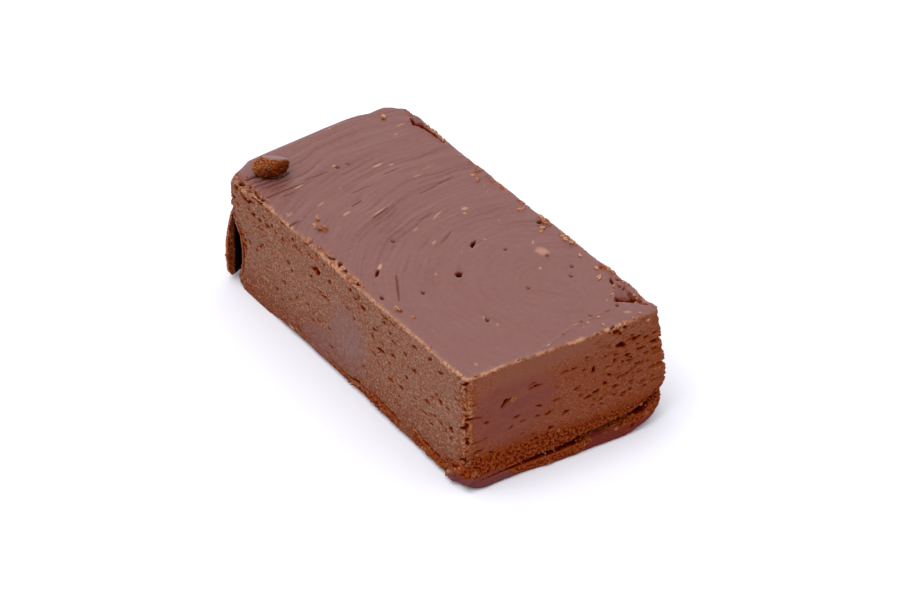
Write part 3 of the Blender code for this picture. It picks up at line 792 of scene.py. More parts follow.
# Trenches: y and z of the points.
NEAR_TRENCHES = (
    (((-22.4, 25.2), (-21.5, 23.6), (-20.8, 22.2)), 0.35, 0.9),
    (((-21.9, 16.6), (-21.1, 14.6), (-20.8, 13.2)), 0.38, 1),
    (((-21.6, 12.2), (-20.3, 10)), 0.28, 0.7), (((-20.2, 16.2), (-17.6, 15.4)), 0.26, 0.5),
    (((-20.3, 19), (-18.6, 18.6)), 0.24, 0.4), (((-20, 10.2), (-17.8, 10.1)), 0.24, 0.5),
    (((-20.2, 7.6), (-16.8, 8)), 0.26, 0.6), (((-19.6, 4.9), (-18, 4.2)), 0.3, 0.6),
    (((13.6, 20.6), (17.5, 21)), 0.26, 0.7), (((12, 12.8), (15.5, 13.6), (18.8, 14.9)), 0.22, 0.6),
)
# The cleft over the lip, thin at the left and wider at the right.
CLEFT_LINES = (
    (((-18.5, 2.1), (-10, 2.1), (-4, 2.2), (4, 2.4), (7, 2.6)), 0.3, 0.35),
    (
        ((2, 2.6), (9.3, 3), (13.3, 3.3), (17.4, 3.7), (19.7, 4.6), (20.6, 5.5), (23, 7.5)),
        0.55, 0.6,
    ),
)

# %% Marks on the upright corners
# Holes between the two cuts: x, y, z, reach along the cuts and half height, depth.
CORNER_HOLES = (
    (43, -21.4, 14.5, 1, 0.95, 1.1), (43.1, -21.4, 11.6, 1.2, 0.4, 0.7),
    (43.1, -21.5, 24.1, 1.1, 0.55, 0.8), (43.2, -21.4, 16.9, 1.3, 0.26, 0.6),
    (43.1, -21.4, 6.4, 1.2, 0.6, 0.8), (43.2, -21.4, 8.9, 1, 0.28, 0.6),
    (43.1, -21.4, 20.6, 0.8, 0.28, 0.5), (42.2, -21.5, 18.3, 0.8, 0.25, 0.5),
)
# Bites between the short cut and the rear: z, half height, depth.
CORNER_BITES = (
    (18.5, 0.5, 1.1), (16.3, 0.3, 0.5), (15.6, 0.25, 0.6), (12.6, 0.45, 0.8), (9.3, 0.3, 0.5),
)


# %% Shapes of marks
def oval(across, up, mark):
    """1 in the middle of a mark and 0 outside it."""
    u0, v0, half_u, half_v, turn, _ = mark
    c = math.cos(math.radians(turn))
    s = math.sin(math.radians(turn))
    u = (across - u0) * c + (up - v0) * s
    v = (up - v0) * c - (across - u0) * s
    # A slow wobble keeps the outline from being a clean oval.
    angle = np.arctan2(v / half_v, u / half_u)
    wobble = 0.13 * np.sin(3.0 * angle + u0) + 0.09 * np.sin(5.0 * angle + v0)
    return smooth_step(np.hypot(u / half_u, v / half_v) + wobble, 1.25, 0.72)


def trench(across, up, mark):
    """1 along a line of points and 0 beside it, running out at both ends."""
    line, half, _ = mark
    steps = [math.dist(a, b) for a, b in zip(line, line[1:])]
    nearest = np.full(across.shape, 1e3, np.float32)
    share = np.zeros(across.shape, np.float32)
    gone = 0.0
    for (x0, y0), (x1, y1), step in zip(line, line[1:], steps):
        t = ((across - x0) * (x1 - x0) + (up - y0) * (y1 - y0)) / step**2
        t = np.clip(t, 0.0, 1.0)
        away = np.hypot(across - x0 - t * (x1 - x0), up - y0 - t * (y1 - y0))
        closer = away < nearest
        nearest = np.where(closer, away, nearest)
        share = np.where(closer, (gone + t * step) / sum(steps), share)
        gone += step
    width = half * np.sqrt(np.clip(4.0 * share * (1.0 - share), 0.02, 1.0))
    return smooth_step(nearest, width, 0.3 * width)


# %% The torn notch
NOTCH_LEFT = ((30.0, 20.2), (36.3, 15.6))
NOTCH_WALL = ((36.8, 15.4), (38.4, 19.2))
NOTCH_DEPTH = 0.9
NOTCH_RIM = 20.4


def beside(line, across, up):
    """How far a point lies to the left of a line, in mm."""
    (x0, y0), (x1, y1) = line
    length = math.dist(*line)
    return ((up - y0) * (x1 - x0) - (across - x0) * (y1 - y0)) / length


def notch(x, y):
    """The torn notch: how far it sinks, and how much painted shade its crease and the ground under
    its rim get.
    """
    falling = smooth_step(beside(NOTCH_LEFT, x, y), 0.0, 2.8)
    falling *= 0.25 + 0.75 * smooth_step(x, 31.5, 36.8)
    to_wall = beside(NOTCH_WALL, x, y)
    rim = smooth_step(y, NOTCH_RIM + 0.6, NOTCH_RIM - 0.3)
    depth = NOTCH_DEPTH * falling * smooth_step(to_wall, 0.0, 0.5) * rim
    # Painted shade low in the crease beside the wall, and painted shadow under the rim.
    crease_shade = 2.1 * smooth_step(to_wall, 3.1, 1.6) * smooth_step(x, 33.5, 35.5)
    shadow_under_rim = smooth_step(y, NOTCH_RIM - 0.7, NOTCH_RIM) * smooth_step(x, 34.5, 36.0)
    return depth, np.maximum(crease_shade, shadow_under_rim) * smooth_step(depth, 0.05, 0.3)


# %% Press the marks in
DOWN = (0.0, 0.0, -1.0)
BACK = (0.0, 1.0, 0.0)
LEFT = (-1.0, 0.0, 0.0)


def press_marks(mesh):
    """Presses every mark into the points, and notes in an attribute how much painted shade each
    point gets.
    """
    place = points_of(mesh)
    x, y, z = points_of(mesh, "raw").T
    front, near, _ = points_of(mesh, "sides").T
    top = points_of(mesh, "ends")[:, 0]
    pit = np.zeros(len(x), np.float32)

    def press(amount, depth, inwards, shade_level):
        np.add(place, np.outer(amount * depth * MM, np.array(inwards, np.float32)), out=place)
        np.maximum(pit, amount * shade_level, out=pit)

    jobs = (
        (TOP_MARKS, oval, x, y, top, DOWN),
        (TOP_TRENCHES, trench, x, y, top, DOWN),
        (FRONT_MARKS, oval, x, z, front, BACK),
        (FRONT_TRENCHES, trench, x, z, front, BACK),
        (NEAR_MARKS, oval, y, z, near, LEFT),
        (NEAR_TRENCHES, trench, y, z, near, LEFT),
    )
    for marks, shape, across, up, facing, inwards in jobs:
        for mark in marks:
            # Each mark gets painted shade in the shader, more for deeper marks; bumps get none.
            shade_level = min(max(2.2 * mark[-1], 0.0), 4.0)
            press(shape(across, up, mark) * facing, mark[-1], inwards, shade_level)

    # The notch's crease and the ground under its rim get painted shade.
    hollow, crease_shade = notch(x, y)
    above = smooth_step(z, 18.0, 20.0)
    press(hollow * above, 1.0, DOWN, 0.0)
    np.maximum(pit, crease_shade * above, out=pit)

    for x0, y0, z0, reach, half, depth in CORNER_HOLES:
        away = np.hypot(np.hypot(x - x0, y - y0) / reach, (z - z0) / half)
        amount = smooth_step(away, 1.2, 0.6) * np.maximum(front, near)
        press(amount, depth, (-0.6, 0.6, 0.0), 2.4 * depth)
    for line in CLEFT_LINES:
        groove = trench(y, z, line) * smooth_step(x, 42.0, 42.6) * smooth_step(x, 44.7, 44.3)
        press(groove, line[-1], LEFT, 2.0)
    at_corner = smooth_step(x + y, 63.4, 64.6)
    for height, half, depth in CORNER_BITES:
        bite = at_corner * smooth_step(np.abs(z - height + 0.3 * (x - 43.0)) / half, 1.3, 0.5)
        press(bite, depth, (-0.75, -0.65, 0.0), 0.8)

    write_points(mesh, place)
    write_note(mesh, "pit", pit)


press_marks(fudge.data)
print("marks pressed into", fudge.name)

# %% [markdown]
# ## The bar, step four: hollows and tips
#
# A point that lies below the average of its neighbours is in a hollow, and one that stands
# above it is on a tip. Hollows get painted shade, darker and redder, and tips get painted
# highlight, paler, so this measure, kept as `cavity` in millimetres, colours crumbly ground
# without any drawing.


# %% Measure hollows
HOLLOW_BLUR = 10


def cavity_tree():
    g, given = new_tree("cavity", {"Datum": (0.0, 0.0, 0.0)})
    place, normal = own_place(g, given["Datum"])
    smooth = g.blurred(place, HOLLOW_BLUR, "FLOAT_VECTOR")
    height = g.vector_math("DOT_PRODUCT", g.vector_math("SUBTRACT", place, smooth), normal)
    geometry = keep(g, given["Geometry"], "cavity", height, "FLOAT")
    g.node("NodeGroupOutput", {0: geometry})
    return g.tree


measure_hollows = cavity_tree()
grow(measure_hollows, fudge, Datum=tuple(DATUM))

# %% [markdown]
# ## The bar, step five: fewer faces where nothing happens
#
# The remesher spends as many faces on flat ground as on holes. Decimation takes them off
# where they show least, down to a count that exports well.

# %% Thin the mesh
BAR_TRIANGLES = 196000


def count_triangles(obj):
    return sum(len(p.vertices) - 2 for p in obj.data.polygons)


def thin(obj, triangles):
    before = count_triangles(obj)
    decimate = obj.modifiers.new("thin", "DECIMATE")
    decimate.ratio = min(1.0, triangles / before)
    obj.data = evaluated_mesh(obj)
    obj.modifiers.clear()
    print(obj.name, "thinned from", before, "to", count_triangles(obj), "triangles")


thin(fudge, BAR_TRIANGLES)
fudge.data.shade_smooth()

# %% [markdown]
# ## Fudge as a material
#
# Chocolate fudge is a matte brown paste of fine sugar in fat. A spread or rubbed skin is
# smooth, a little glossy, and looks mauve under white light; on the rubbed cut, part of that
# mauve is painted sheen. A fresh cut is drier and more orange, and its holes get painted
# shade, darker and redder. Crumbs at the edges are tan, with painted highlight where they
# catch the light.
#
# What any broken fudge has in common is one node group, used by the bar and the crumbs.

# %% Colours
TOP_MAUVE = (0.172, 0.060, 0.052, 1.0)
TOP_SHADE = (0.122, 0.030, 0.023, 1.0)
# Painted shade for the shallow grooves of the top.
TOP_GROOVE_SHADE = (0.095, 0.016, 0.009, 1.0)
# Paler tone of the top's clouds, and the painted highlight of its strokes.
TOP_PALE_AND_HIGHLIGHT = (0.206, 0.087, 0.077, 1.0)
# The smear's colours: its rubbed skin, partly painted sheen.
SMEAR_MAUVE_SHEEN = (0.170, 0.076, 0.070, 1.0)
SMEAR_PALE_SHEEN = (0.260, 0.165, 0.170, 1.0)
LONG_CUT = (0.184, 0.078, 0.053, 1.0)
LONG_FOOT = (0.138, 0.036, 0.019, 1.0)
SHORT_CUT = (0.173, 0.043, 0.021, 1.0)
SHORT_SKIN = (0.148, 0.034, 0.028, 1.0)
SHORT_TOP = (0.180, 0.056, 0.032, 1.0)
SHORT_MARBLE = (0.172, 0.046, 0.033, 1.0)
SHORT_FOOT = (0.132, 0.013, 0.003, 1.0)
LIP_SKIN = (0.125, 0.013, 0.009, 1.0)
LIP_MAUVE = (0.125, 0.028, 0.029, 1.0)
# Painted shade inside holes and hollows: orange, then red, then black at the bottom.
HOLE_SHADOW_BLACK = (0.006, 0.0003, 0.0002, 1.0)
HOLE_SHADE_RED = (0.115, 0.0040, 0.0004, 1.0)
HOLE_SHADE_ORANGE = (0.225, 0.042, 0.004, 1.0)
TORN_ORANGE = (0.145, 0.022, 0.003, 1.0)
TORN_DEEP = (0.290, 0.040, 0.005, 1.0)
CRUMB_BROWN = (0.190, 0.058, 0.018, 1.0)
TAN = (0.480, 0.250, 0.150, 1.0)
TAN_ORANGE = (0.330, 0.120, 0.050, 1.0)
DRY_TAN = (0.440, 0.255, 0.165, 1.0)
FOOT_TAN = (0.270, 0.062, 0.016, 1.0)
FLAP_TAN = (0.480, 0.190, 0.060, 1.0)
CRUMB_DARK = (0.110, 0.020, 0.003, 1.0)
CRUMB_SHADE = (0.035, 0.003, 0.0005, 1.0)
CRUMB_TAN = (0.420, 0.190, 0.085, 1.0)
PALE = (0.560, 0.420, 0.360, 1.0)


# %% The look of broken fudge
def broken_look():
    """A shader node group: mottles a colour, with painted highlight on its tips and painted shade
    in its hollows and holes.
    """
    group = bpy.data.node_groups.new("broken_fudge", "ShaderNodeTree")
    for title, kind in (
        ("Colour", "Color"),
        ("Pale", "Color"),
        ("Place", "Vector"),
        ("Cavity", "Float"),
        ("Broken", "Float"),
        ("Crumbly", "Float"),
        ("Hole", "Float"),
    ):
        group.interface.new_socket(title, in_out="INPUT", socket_type="NodeSocket" + kind)
    group.interface.new_socket("Colour", in_out="OUTPUT", socket_type="NodeSocketColor")
    group.interface.new_socket("Height", in_out="OUTPUT", socket_type="NodeSocketFloat")
    g = Graph(group)
    given = g.given()
    broken = given["Broken"]
    crumbly = given["Crumbly"]
    grain = mottle(g, given["Place"])
    cavity = given["Cavity"]
    grit = g.noise(given["Place"], 0.30, 2.0, 0.6)
    # Pale grain is partly the cut's own paler grain and partly painted highlight on its raised
    # parts.
    pale = g.most(g.ramp(grain, 0.50, 0.65) * 0.47, g.ramp(grit, 0.54, 0.70) * 0.45)
    pale = pale * broken
    colour = g.mix(pale, given["Colour"], given["Pale"])
    grains = two_granules(g, given["Place"])
    depth = cavity * 1.6 + grit * 0.4 + grains * 0.20
    # Tips of crumbly ground get painted highlight.
    tip_highlight = g.ramp(depth, 0.23, 0.40) * crumbly * 0.60
    colour = g.mix(tip_highlight, colour, given["Pale"])
    # Tiny pits, hollows, gaps between grains and holes get painted shade.
    pits = g.ramp(grain, 0.455, 0.34) * broken * 0.55
    painted_shade = g.ramp(cavity, -0.04, -0.24) * (0.3 + crumbly * 0.5)
    gap_shade = g.ramp(depth, 0.18, 0.03) * crumbly * 1.10
    painted_shade = g.most(painted_shade, pits, gap_shade, given["Hole"])
    colour = g.mix(g.ramp(painted_shade, 0.0, 0.5), colour, HOLE_SHADE_ORANGE)
    colour = g.mix(g.ramp(painted_shade, 0.55, 1.0), colour, HOLE_SHADE_RED)
    colour = g.mix(g.ramp(painted_shade, 1.35, 2.30), colour, HOLE_SHADOW_BLACK)
    g.node("NodeGroupOutput", {"Colour": colour, "Height": grain * broken})
    return group


BROKEN_LOOK = broken_look()


def attribute(g, name, output="Vector"):
    return g.read("ShaderNodeAttribute", output=output, attribute_name=name)


def new_material(name):
    material = bpy.data.materials.new(name)
    material.use_nodes = True
    shader = material.node_tree.nodes["Principled BSDF"]
    shader.inputs["Specular IOR Level"].default_value = 0.03
    shader.inputs["Coat Roughness"].default_value = 0.42
    shader.inputs["Coat IOR"].default_value = 1.5
    return material, Graph(material.node_tree), shader


def apply_broken_look(g, shader, **given):
    """Puts the group into a material, wires its colour, and returns its fine grain."""
    look = g.node("ShaderNodeGroup", node_tree=BROKEN_LOOK)
    for name, value in given.items():
        g.put(look.inputs[name], value)
    g.put(shader.inputs["Base Color"], Field(g, look.outputs["Colour"]))
    return Field(g, look.outputs["Height"])


def add_bump(g, shader, height):
    """Fine grain that is too small for the mesh; `height` is a share of a millimetre."""
    bump = g.read("ShaderNodeBump", {"Height": height, "Strength": 0.8, "Distance": MM})
    g.put(shader.inputs["Normal"], bump)


# %% Flecks spread into the top
# x, y, half length, half width, turn in degrees, strength.
FLECKS = (
    (-30, -12, 1.5, 0.4, 108, 0.6), (-22, -12, 1.2, 0.4, 110, 0.3),
    (-22.2, -19, 1, 0.45, 114, 0.35), (-16.4, -9.5, 1.2, 0.45, 108, 0.5),
    (-13.5, -4, 2.4, 0.3, 108, 0.45), (-38.7, 17.3, 1.3, 0.28, 95, 0.5),
    (-36, 14.4, 0.6, 0.35, 100, 0.4), (-28.1, 5, 1.3, 0.4, 97, 0.6),
    (-26.9, 7.5, 0.7, 0.4, 97, 0.45), (-20.5, 9.5, 1.2, 0.3, 98, 0.3),
    (-6.3, 4.8, 1.9, 0.3, 120, 0.4), (-5.3, 10.7, 0.75, 0.55, 90, 0.65),
    (-4, 9.8, 0.45, 0.35, 0, 0.55), (1.3, -0.9, 0.85, 0.35, 118, 0.45),
    (15.5, 14.5, 1.8, 1.35, 0, 0.5), (11.8, 15, 1, 0.3, 137, 0.4),
    (2.9, -14.2, 1.3, 0.42, 132, 0.75), (27.7, -7.2, 0.7, 0.3, 165, 0.35),
    (-22, 13, 1.8, 0.35, 100, 0.2), (-4.3, -1.5, 0.9, 0.35, 112, 0.3),
    (-45.3, 4.5, 0.4, 0.3, 90, 0.45), (5.6, 8, 0.4, 0.3, 0, 0.4), (20, 11, 0.5, 0.3, 140, 0.5),
    (10.7, -6.6, 0.5, 0.25, 140, 0.45), (31, -6.4, 0.5, 0.3, 140, 0.4),
    (39.3, -16.7, 0.6, 0.4, 0, 0.35), (41, 16, 0.9, 0.5, 60, 0.45), (39.6, 8, 0.5, 0.3, 0, 0.45),
)
SPECK_GAP = 2.4


def flecks(g, place):
    """Soft tan ovals where a crumb was smeared out by the knife."""
    ragged = (g.noise(place, 0.8, 2.0) - 0.5) * 0.6
    result = 0.0
    for x, y, half_u, half_v, turn, strength in FLECKS:
        c = math.cos(math.radians(turn))
        s = math.sin(math.radians(turn))
        away = g.vector_math("SUBTRACT", place, (x, y, TOP))
        u = g.vector_math("DOT_PRODUCT", away, (c / half_u, s / half_u, 0.0))
        v = g.vector_math("DOT_PRODUCT", away, (-s / half_v, c / half_v, 0.0))
        size = g.vector_math("LENGTH", g.vector(u, v, 0.0))
        result = g.most(result, g.ramp(size + ragged, 1.20, 0.40, 0.0, strength))
    return result


def specks(g, place):
    """Tiny pale sugar specks, one in about every other cell."""
    x, y, _ = g.parts(place)
    distance, colour = g.cells(g.vector(x, y, 0.0), SPECK_GAP)
    chance, width, _ = g.parts(colour)
    radius = g.ramp(chance, 0.45, 0.55) * (0.034 + width * width * 0.055)
    return g.ramp(distance, radius, radius * 0.4)


SMEAR_TURN = (-7.0, 12.0)


def smear_arcs(g, x, z):
    """Pale arcs that the knife left in the smear on the long cut, partly painted sheen."""
    u = x - SMEAR_TURN[0]
    v = z - SMEAR_TURN[1]
    radius = g.length(u, v)
    angle = g.math("ARCTAN2", v, u)
    lines = g.noise(g.vector(radius * 1.1, angle * 5.0, 0.0), 1.0, 4.0, 0.65)
    return g.ramp(lines, 0.44, 0.68) * g.ramp(radius, 3.0, 7.5) * g.ramp(x, -6.0, 1.0)


# %% Colours of the bar
def cut_colour(g, place, sides, smooth):
    """The top's mauve, and the colours of the long and the short cut over it."""
    front, near, rear = sides
    x, _, z = g.parts(place)
    long_cut = g.mix(g.ramp(z, 11.0, 1.5), LONG_CUT, LONG_FOOT)
    # The smear and its pale arcs are partly painted sheen on the rubbed skin.
    long_cut = g.mix(smooth * 0.9, long_cut, SMEAR_MAUVE_SHEEN)
    long_cut = g.mix(smooth * smear_arcs(g, x, z) * 0.4, long_cut, SMEAR_PALE_SHEEN)
    blotches = g.noise(g.vector_math("MULTIPLY", place, (1.0, 0.35, 1.0)), 2.2, 4.0, 0.6)
    skin = g.mix(g.ramp(blotches, 0.35, 0.65), SHORT_SKIN, SHORT_MARBLE)
    short_cut = g.mix(smooth * 0.9, SHORT_CUT, skin)
    short_cut = g.mix(g.ramp(z + blotches * 2.0, 20.5, 22.5), short_cut, SHORT_TOP)
    short_cut = g.mix(g.ramp(z, 8.5, 5.0), short_cut, SHORT_FOOT)
    return g.mix(near, g.mix(g.most(front, rear), TOP_MAUVE, long_cut), short_cut)


def torn_colour(g, colour, place, near, floor, crumbly, edge, lip, torn):
    """Adds painted shade in the cleft, the lip, crumbly ground, the flap's inside with painted
    shadow in its gap, and the tan edges.
    """
    x, y, z = g.parts(place)
    # Inside the cleft, faces turned away from the short cut get painted shade.
    cleft_shade = g.ramp(x, 39.5, 41.5) * g.ramp(z, 9.0, 7.0) * (1.0 - floor)
    colour = g.mix(cleft_shade * (1.0 - near), colour, SHORT_FOOT)
    colour = g.mix(lip, colour, g.mix(g.ramp(y, -8.0, -13.0), LIP_SKIN, LIP_MAUVE))
    colour = g.mix(crumbly * 0.65, colour, TORN_ORANGE)
    streaks = g.noise(g.vector_math("MULTIPLY", place, (1.0, 1.0, 1.6)), 0.9, 3.0, 0.65)
    inside = g.mix(g.ramp(streaks, 0.50, 0.66), TORN_DEEP, FLAP_TAN)
    # Behind the flap's edge, the gap is painted black shadow.
    inside = g.mix(g.ramp(y + streaks, -20.0, -19.2), inside, HOLE_SHADOW_BLACK)
    colour = g.mix(torn * g.ramp(y, 0.0, -4.0), colour, inside)
    # The tan edges are the broken crumb's paler colour, with painted highlight where they catch
    # the light.
    return g.mix(edge * 0.80, colour, TAN)


def spread_look(g, colour, place, spread):
    """Adds strokes in painted shade and highlight, clouds, flecks and specks to the top. Also
    returns its two sorts of line.
    """
    x, _, _ = g.parts(place)
    lines = all_strokes(g, place)
    # The strokes get painted shade on one side and painted highlight on the other, and the
    # scratches get painted shade.
    colour = g.mix(spread * g.ramp(lines, 0.02, -0.34), colour, TOP_SHADE)
    colour = g.mix(spread * g.ramp(lines, 0.02, 0.40), colour, TOP_PALE_AND_HIGHLIGHT)
    fine_lines = strokes(g, place, 0.50, 16.0)
    scratches = spread * g.ramp(fine_lines, -0.06, -0.26) * g.ramp(x, 26.0, -8.0, 0.25, 1.0)
    colour = g.mix(scratches * 0.75, colour, TOP_SHADE)
    clouds = spread * g.ramp(g.noise(place, 1.1, 4.0, 0.65), 0.36, 0.68) * 0.30
    colour = g.mix(clouds, colour, TOP_PALE_AND_HIGHLIGHT)
    colour = g.mix(spread * flecks(g, place), colour, TAN)
    colour = g.mix(spread * specks(g, place) * 0.75, colour, PALE)
    return colour, lines, scratches


# %% Material of the bar
def fudge_material():
    material, g, shader = new_material("fudge")
    place = attribute(g, "raw")
    z = g.parts(place)[2]
    front, near, rear = g.parts(attribute(g, "sides"))
    top, floor, far = g.parts(attribute(g, "ends"))
    open_cut, crumbly, edge = g.parts(attribute(g, "zones"))
    lip, torn, _ = g.parts(attribute(g, "spots"))
    smooth = 1.0 - open_cut
    colour = cut_colour(g, place, (front, near, rear), smooth)
    colour = torn_colour(g, colour, place, near, floor, crumbly, edge, lip, torn)
    colour, lines, scratches = spread_look(g, colour, place, top * smooth)

    # Shallow grooves in the top get a brown painted shade; only its larger pits get the painted
    # shade of holes.
    pit = attribute(g, "pit", "Fac")
    shallow = top * g.ramp(z, 23.0, 24.0)
    colour = g.mix(shallow * g.ramp(pit, 0.0, 0.55), colour, TOP_GROOVE_SHADE)
    pit = pit * g.most(1.0 - shallow, g.ramp(pit, 0.5, 1.1))
    # Holes of the cuts get painted shade as well, like the pressed marks.
    wide, fine = both_holes(g, place, front, near)
    bare = open_cut * (1.0 - g.most(crumbly, edge))
    hole = g.most(g.most(wide * 0.95, fine * 0.60) * bare, pit)

    broken = g.most(open_cut, crumbly, edge, g.most(front, near) * 0.35)
    broken = broken * (1.0 - lip * 0.8)
    pale = g.mix(near, DRY_TAN, TAN_ORANGE)
    pale = g.mix(crumbly * g.ramp(z, 10.0, 7.0), pale, FOOT_TAN)
    grain = apply_broken_look(
        g,
        shader,
        Colour=colour,
        Pale=g.mix(edge, pale, TAN),
        Place=place,
        Cavity=attribute(g, "cavity", "Fac"),
        Broken=broken,
        Crumbly=g.most(crumbly, edge * 0.5) * (1.0 - g.least(pit, 1.0)),
        Hole=hole,
    )

    g.put(shader.inputs["Roughness"], 0.5 + broken * 0.35)
    closed = 1.0 - g.least(hole, 1.0)
    sheen = (1.0 - broken) * closed * (0.10 + g.most(top, far) * 0.60)
    g.put(shader.inputs["Coat Weight"], sheen)
    add_bump(g, shader, grain * 0.12 + lines * top * 0.05 - scratches * 0.03)
    return material


def dress(obj, material, node=None):
    """Gives a finished piece its one material and tells the frame about it."""
    obj.data.materials.clear()
    obj.data.materials.append(material)
    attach(obj, "root")
    if node:
        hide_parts(node)
    print(obj.name, "is made of", material.name, "and stands for", node or "no model node")


dress(fudge, fudge_material(), "fudge_slab")

# %% [markdown]
# ## The large crumb
#
# It broke off with a bit of the smooth top still on it, which now leans a little to the
# left and back. All its other sides are rough and full of small holes.

# %% Relief of a broken crumb
CAP_TILT = (-0.27, 0.27, 0.93)
CAP_SHARE = 0.68  # the cap cuts the crumb off at this share of its reach along the tilt
CRUMB_SHIFT = (0.9, -0.7, -0.5)  # in mm: it sits a little further right, forwards and lower
CRUMB_STRETCH = (1.04, 1.04, 1.22)
CRUMB_VOXEL = 0.1
CRUMB_TRIANGLES = 24000


def crumb_tree():
    settings = {"Datum": (0.0, 0.0, 0.0), "Crumble": 1.0, "Grain": 0.6, "Holes": 0.5, "Swell": 0.1}
    g, given = new_tree("crumb_relief", settings)
    place, normal = own_place(g, given["Datum"])
    wobble = (g.noise(place, 1.2, 3.0) - 0.5) * 0.5
    broken = g.ramp(named(g, "cap", "FLOAT") + wobble, 0.75, 0.45)
    geometry = keep(g, given["Geometry"], "raw", place)
    geometry = keep(g, geometry, "broken", broken, "FLOAT")
    lumps = g.noise(place, 2.0, 2.0, 0.6) - 0.5
    grains = granules(g, place, 0.9) * 0.7 + granules(g, place, 0.45) * 0.5
    shift = lumps * given["Crumble"] + grains * given["Grain"]
    shift = shift - holes(g, place, 0.8, 0.45, 0.5) * given["Holes"]
    shift = shift * (0.05 + 0.95 * broken) + given["Swell"]
    offset = g.scaled(normal, shift * MM)
    g.node("NodeGroupOutput", {0: moved(g, geometry, offset)})
    return g.tree


def cut_cap(mesh):
    """Flattens the crumb where it reaches furthest along the tilt."""
    place = points_of(mesh)
    tilt = np.array(Vector(CAP_TILT).normalized(), np.float32)
    reach = place @ tilt
    middle = 0.5 * (reach.max() + reach.min())
    limit = middle + CAP_SHARE * (reach.max() - middle)
    place -= np.outer(np.maximum(reach - limit, 0.0), tilt)
    write_points(mesh, place)
    write_note(mesh, "cap", smooth_step((reach - limit) / MM, -0.35, 0.05))


# %% Shape the large crumb
crumb = fine_copy("top_crumb", "large_crumb", CRUMB_VOXEL)
crumb_low, crumb_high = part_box("top_crumb")
crumb_middle = 0.5 * (crumb_low + crumb_high)
crumb_foot = Matrix.Translation((crumb_middle.x, crumb_middle.y, crumb_low.z))
crumb_shift = Matrix.Translation(Vector(CRUMB_SHIFT) * MM)
crumb_stretch = Matrix.Diagonal((*CRUMB_STRETCH, 1.0))
crumb.data.transform(crumb_shift @ crumb_foot @ crumb_stretch @ crumb_foot.inverted())
cut_cap(crumb.data)
grow(crumb_tree(), crumb, Datum=tuple(DATUM))
grow(measure_hollows, crumb, Datum=tuple(DATUM))
thin(crumb, CRUMB_TRIANGLES)
crumb.data.shade_smooth()


# %% Material of crumbs
def crumb_material():
    material, g, shader = new_material("crumb")
    place = attribute(g, "raw")
    broken = attribute(g, "broken", "Fac")
    x, _, z = g.parts(place)
    rough = g.mix(g.ramp(g.noise(place, 1.3, 2.0), 0.42, 0.62), CRUMB_BROWN, CRUMB_DARK)
    # The crumb's right side, turned from the light, gets painted shade, and its pale tips there go
    # dark.
    rightwards = x - z * 0.9 + g.noise(place, 1.4, 2.0) * 2.0
    shaded_side = g.ramp(rightwards, -61.2, -58.2)
    rough = g.mix(shaded_side * 0.92, rough, CRUMB_SHADE)
    colour = g.mix(broken, TOP_MAUVE, rough)
    rim = g.ramp(broken, 0.0, 0.3) * g.ramp(broken, 0.9, 0.5) * 0.7
    colour = g.mix(rim, colour, TAN)
    grain = apply_broken_look(
        g,
        shader,
        Colour=colour,
        Pale=g.mix(shaded_side, CRUMB_TAN, CRUMB_DARK),
        Place=place,
        Cavity=attribute(g, "cavity", "Fac"),
        Broken=broken,
        Crumbly=broken,
    )
    g.put(shader.inputs["Roughness"], 0.5 + broken * 0.35)
    g.put(shader.inputs["Coat Weight"], (1.0 - broken) * 0.55)
    add_bump(g, shader, grain * 0.16)
    return material


dress(crumb, crumb_material(), "top_crumb")

# %% [markdown]
# ## Small loose crumbs
#
# Each row of these tables is one crumb that lies on the top or clings to a cut. A ray finds
# the surface that it sits on. They become one joined mesh, and `tint` says how pale each
# one is.

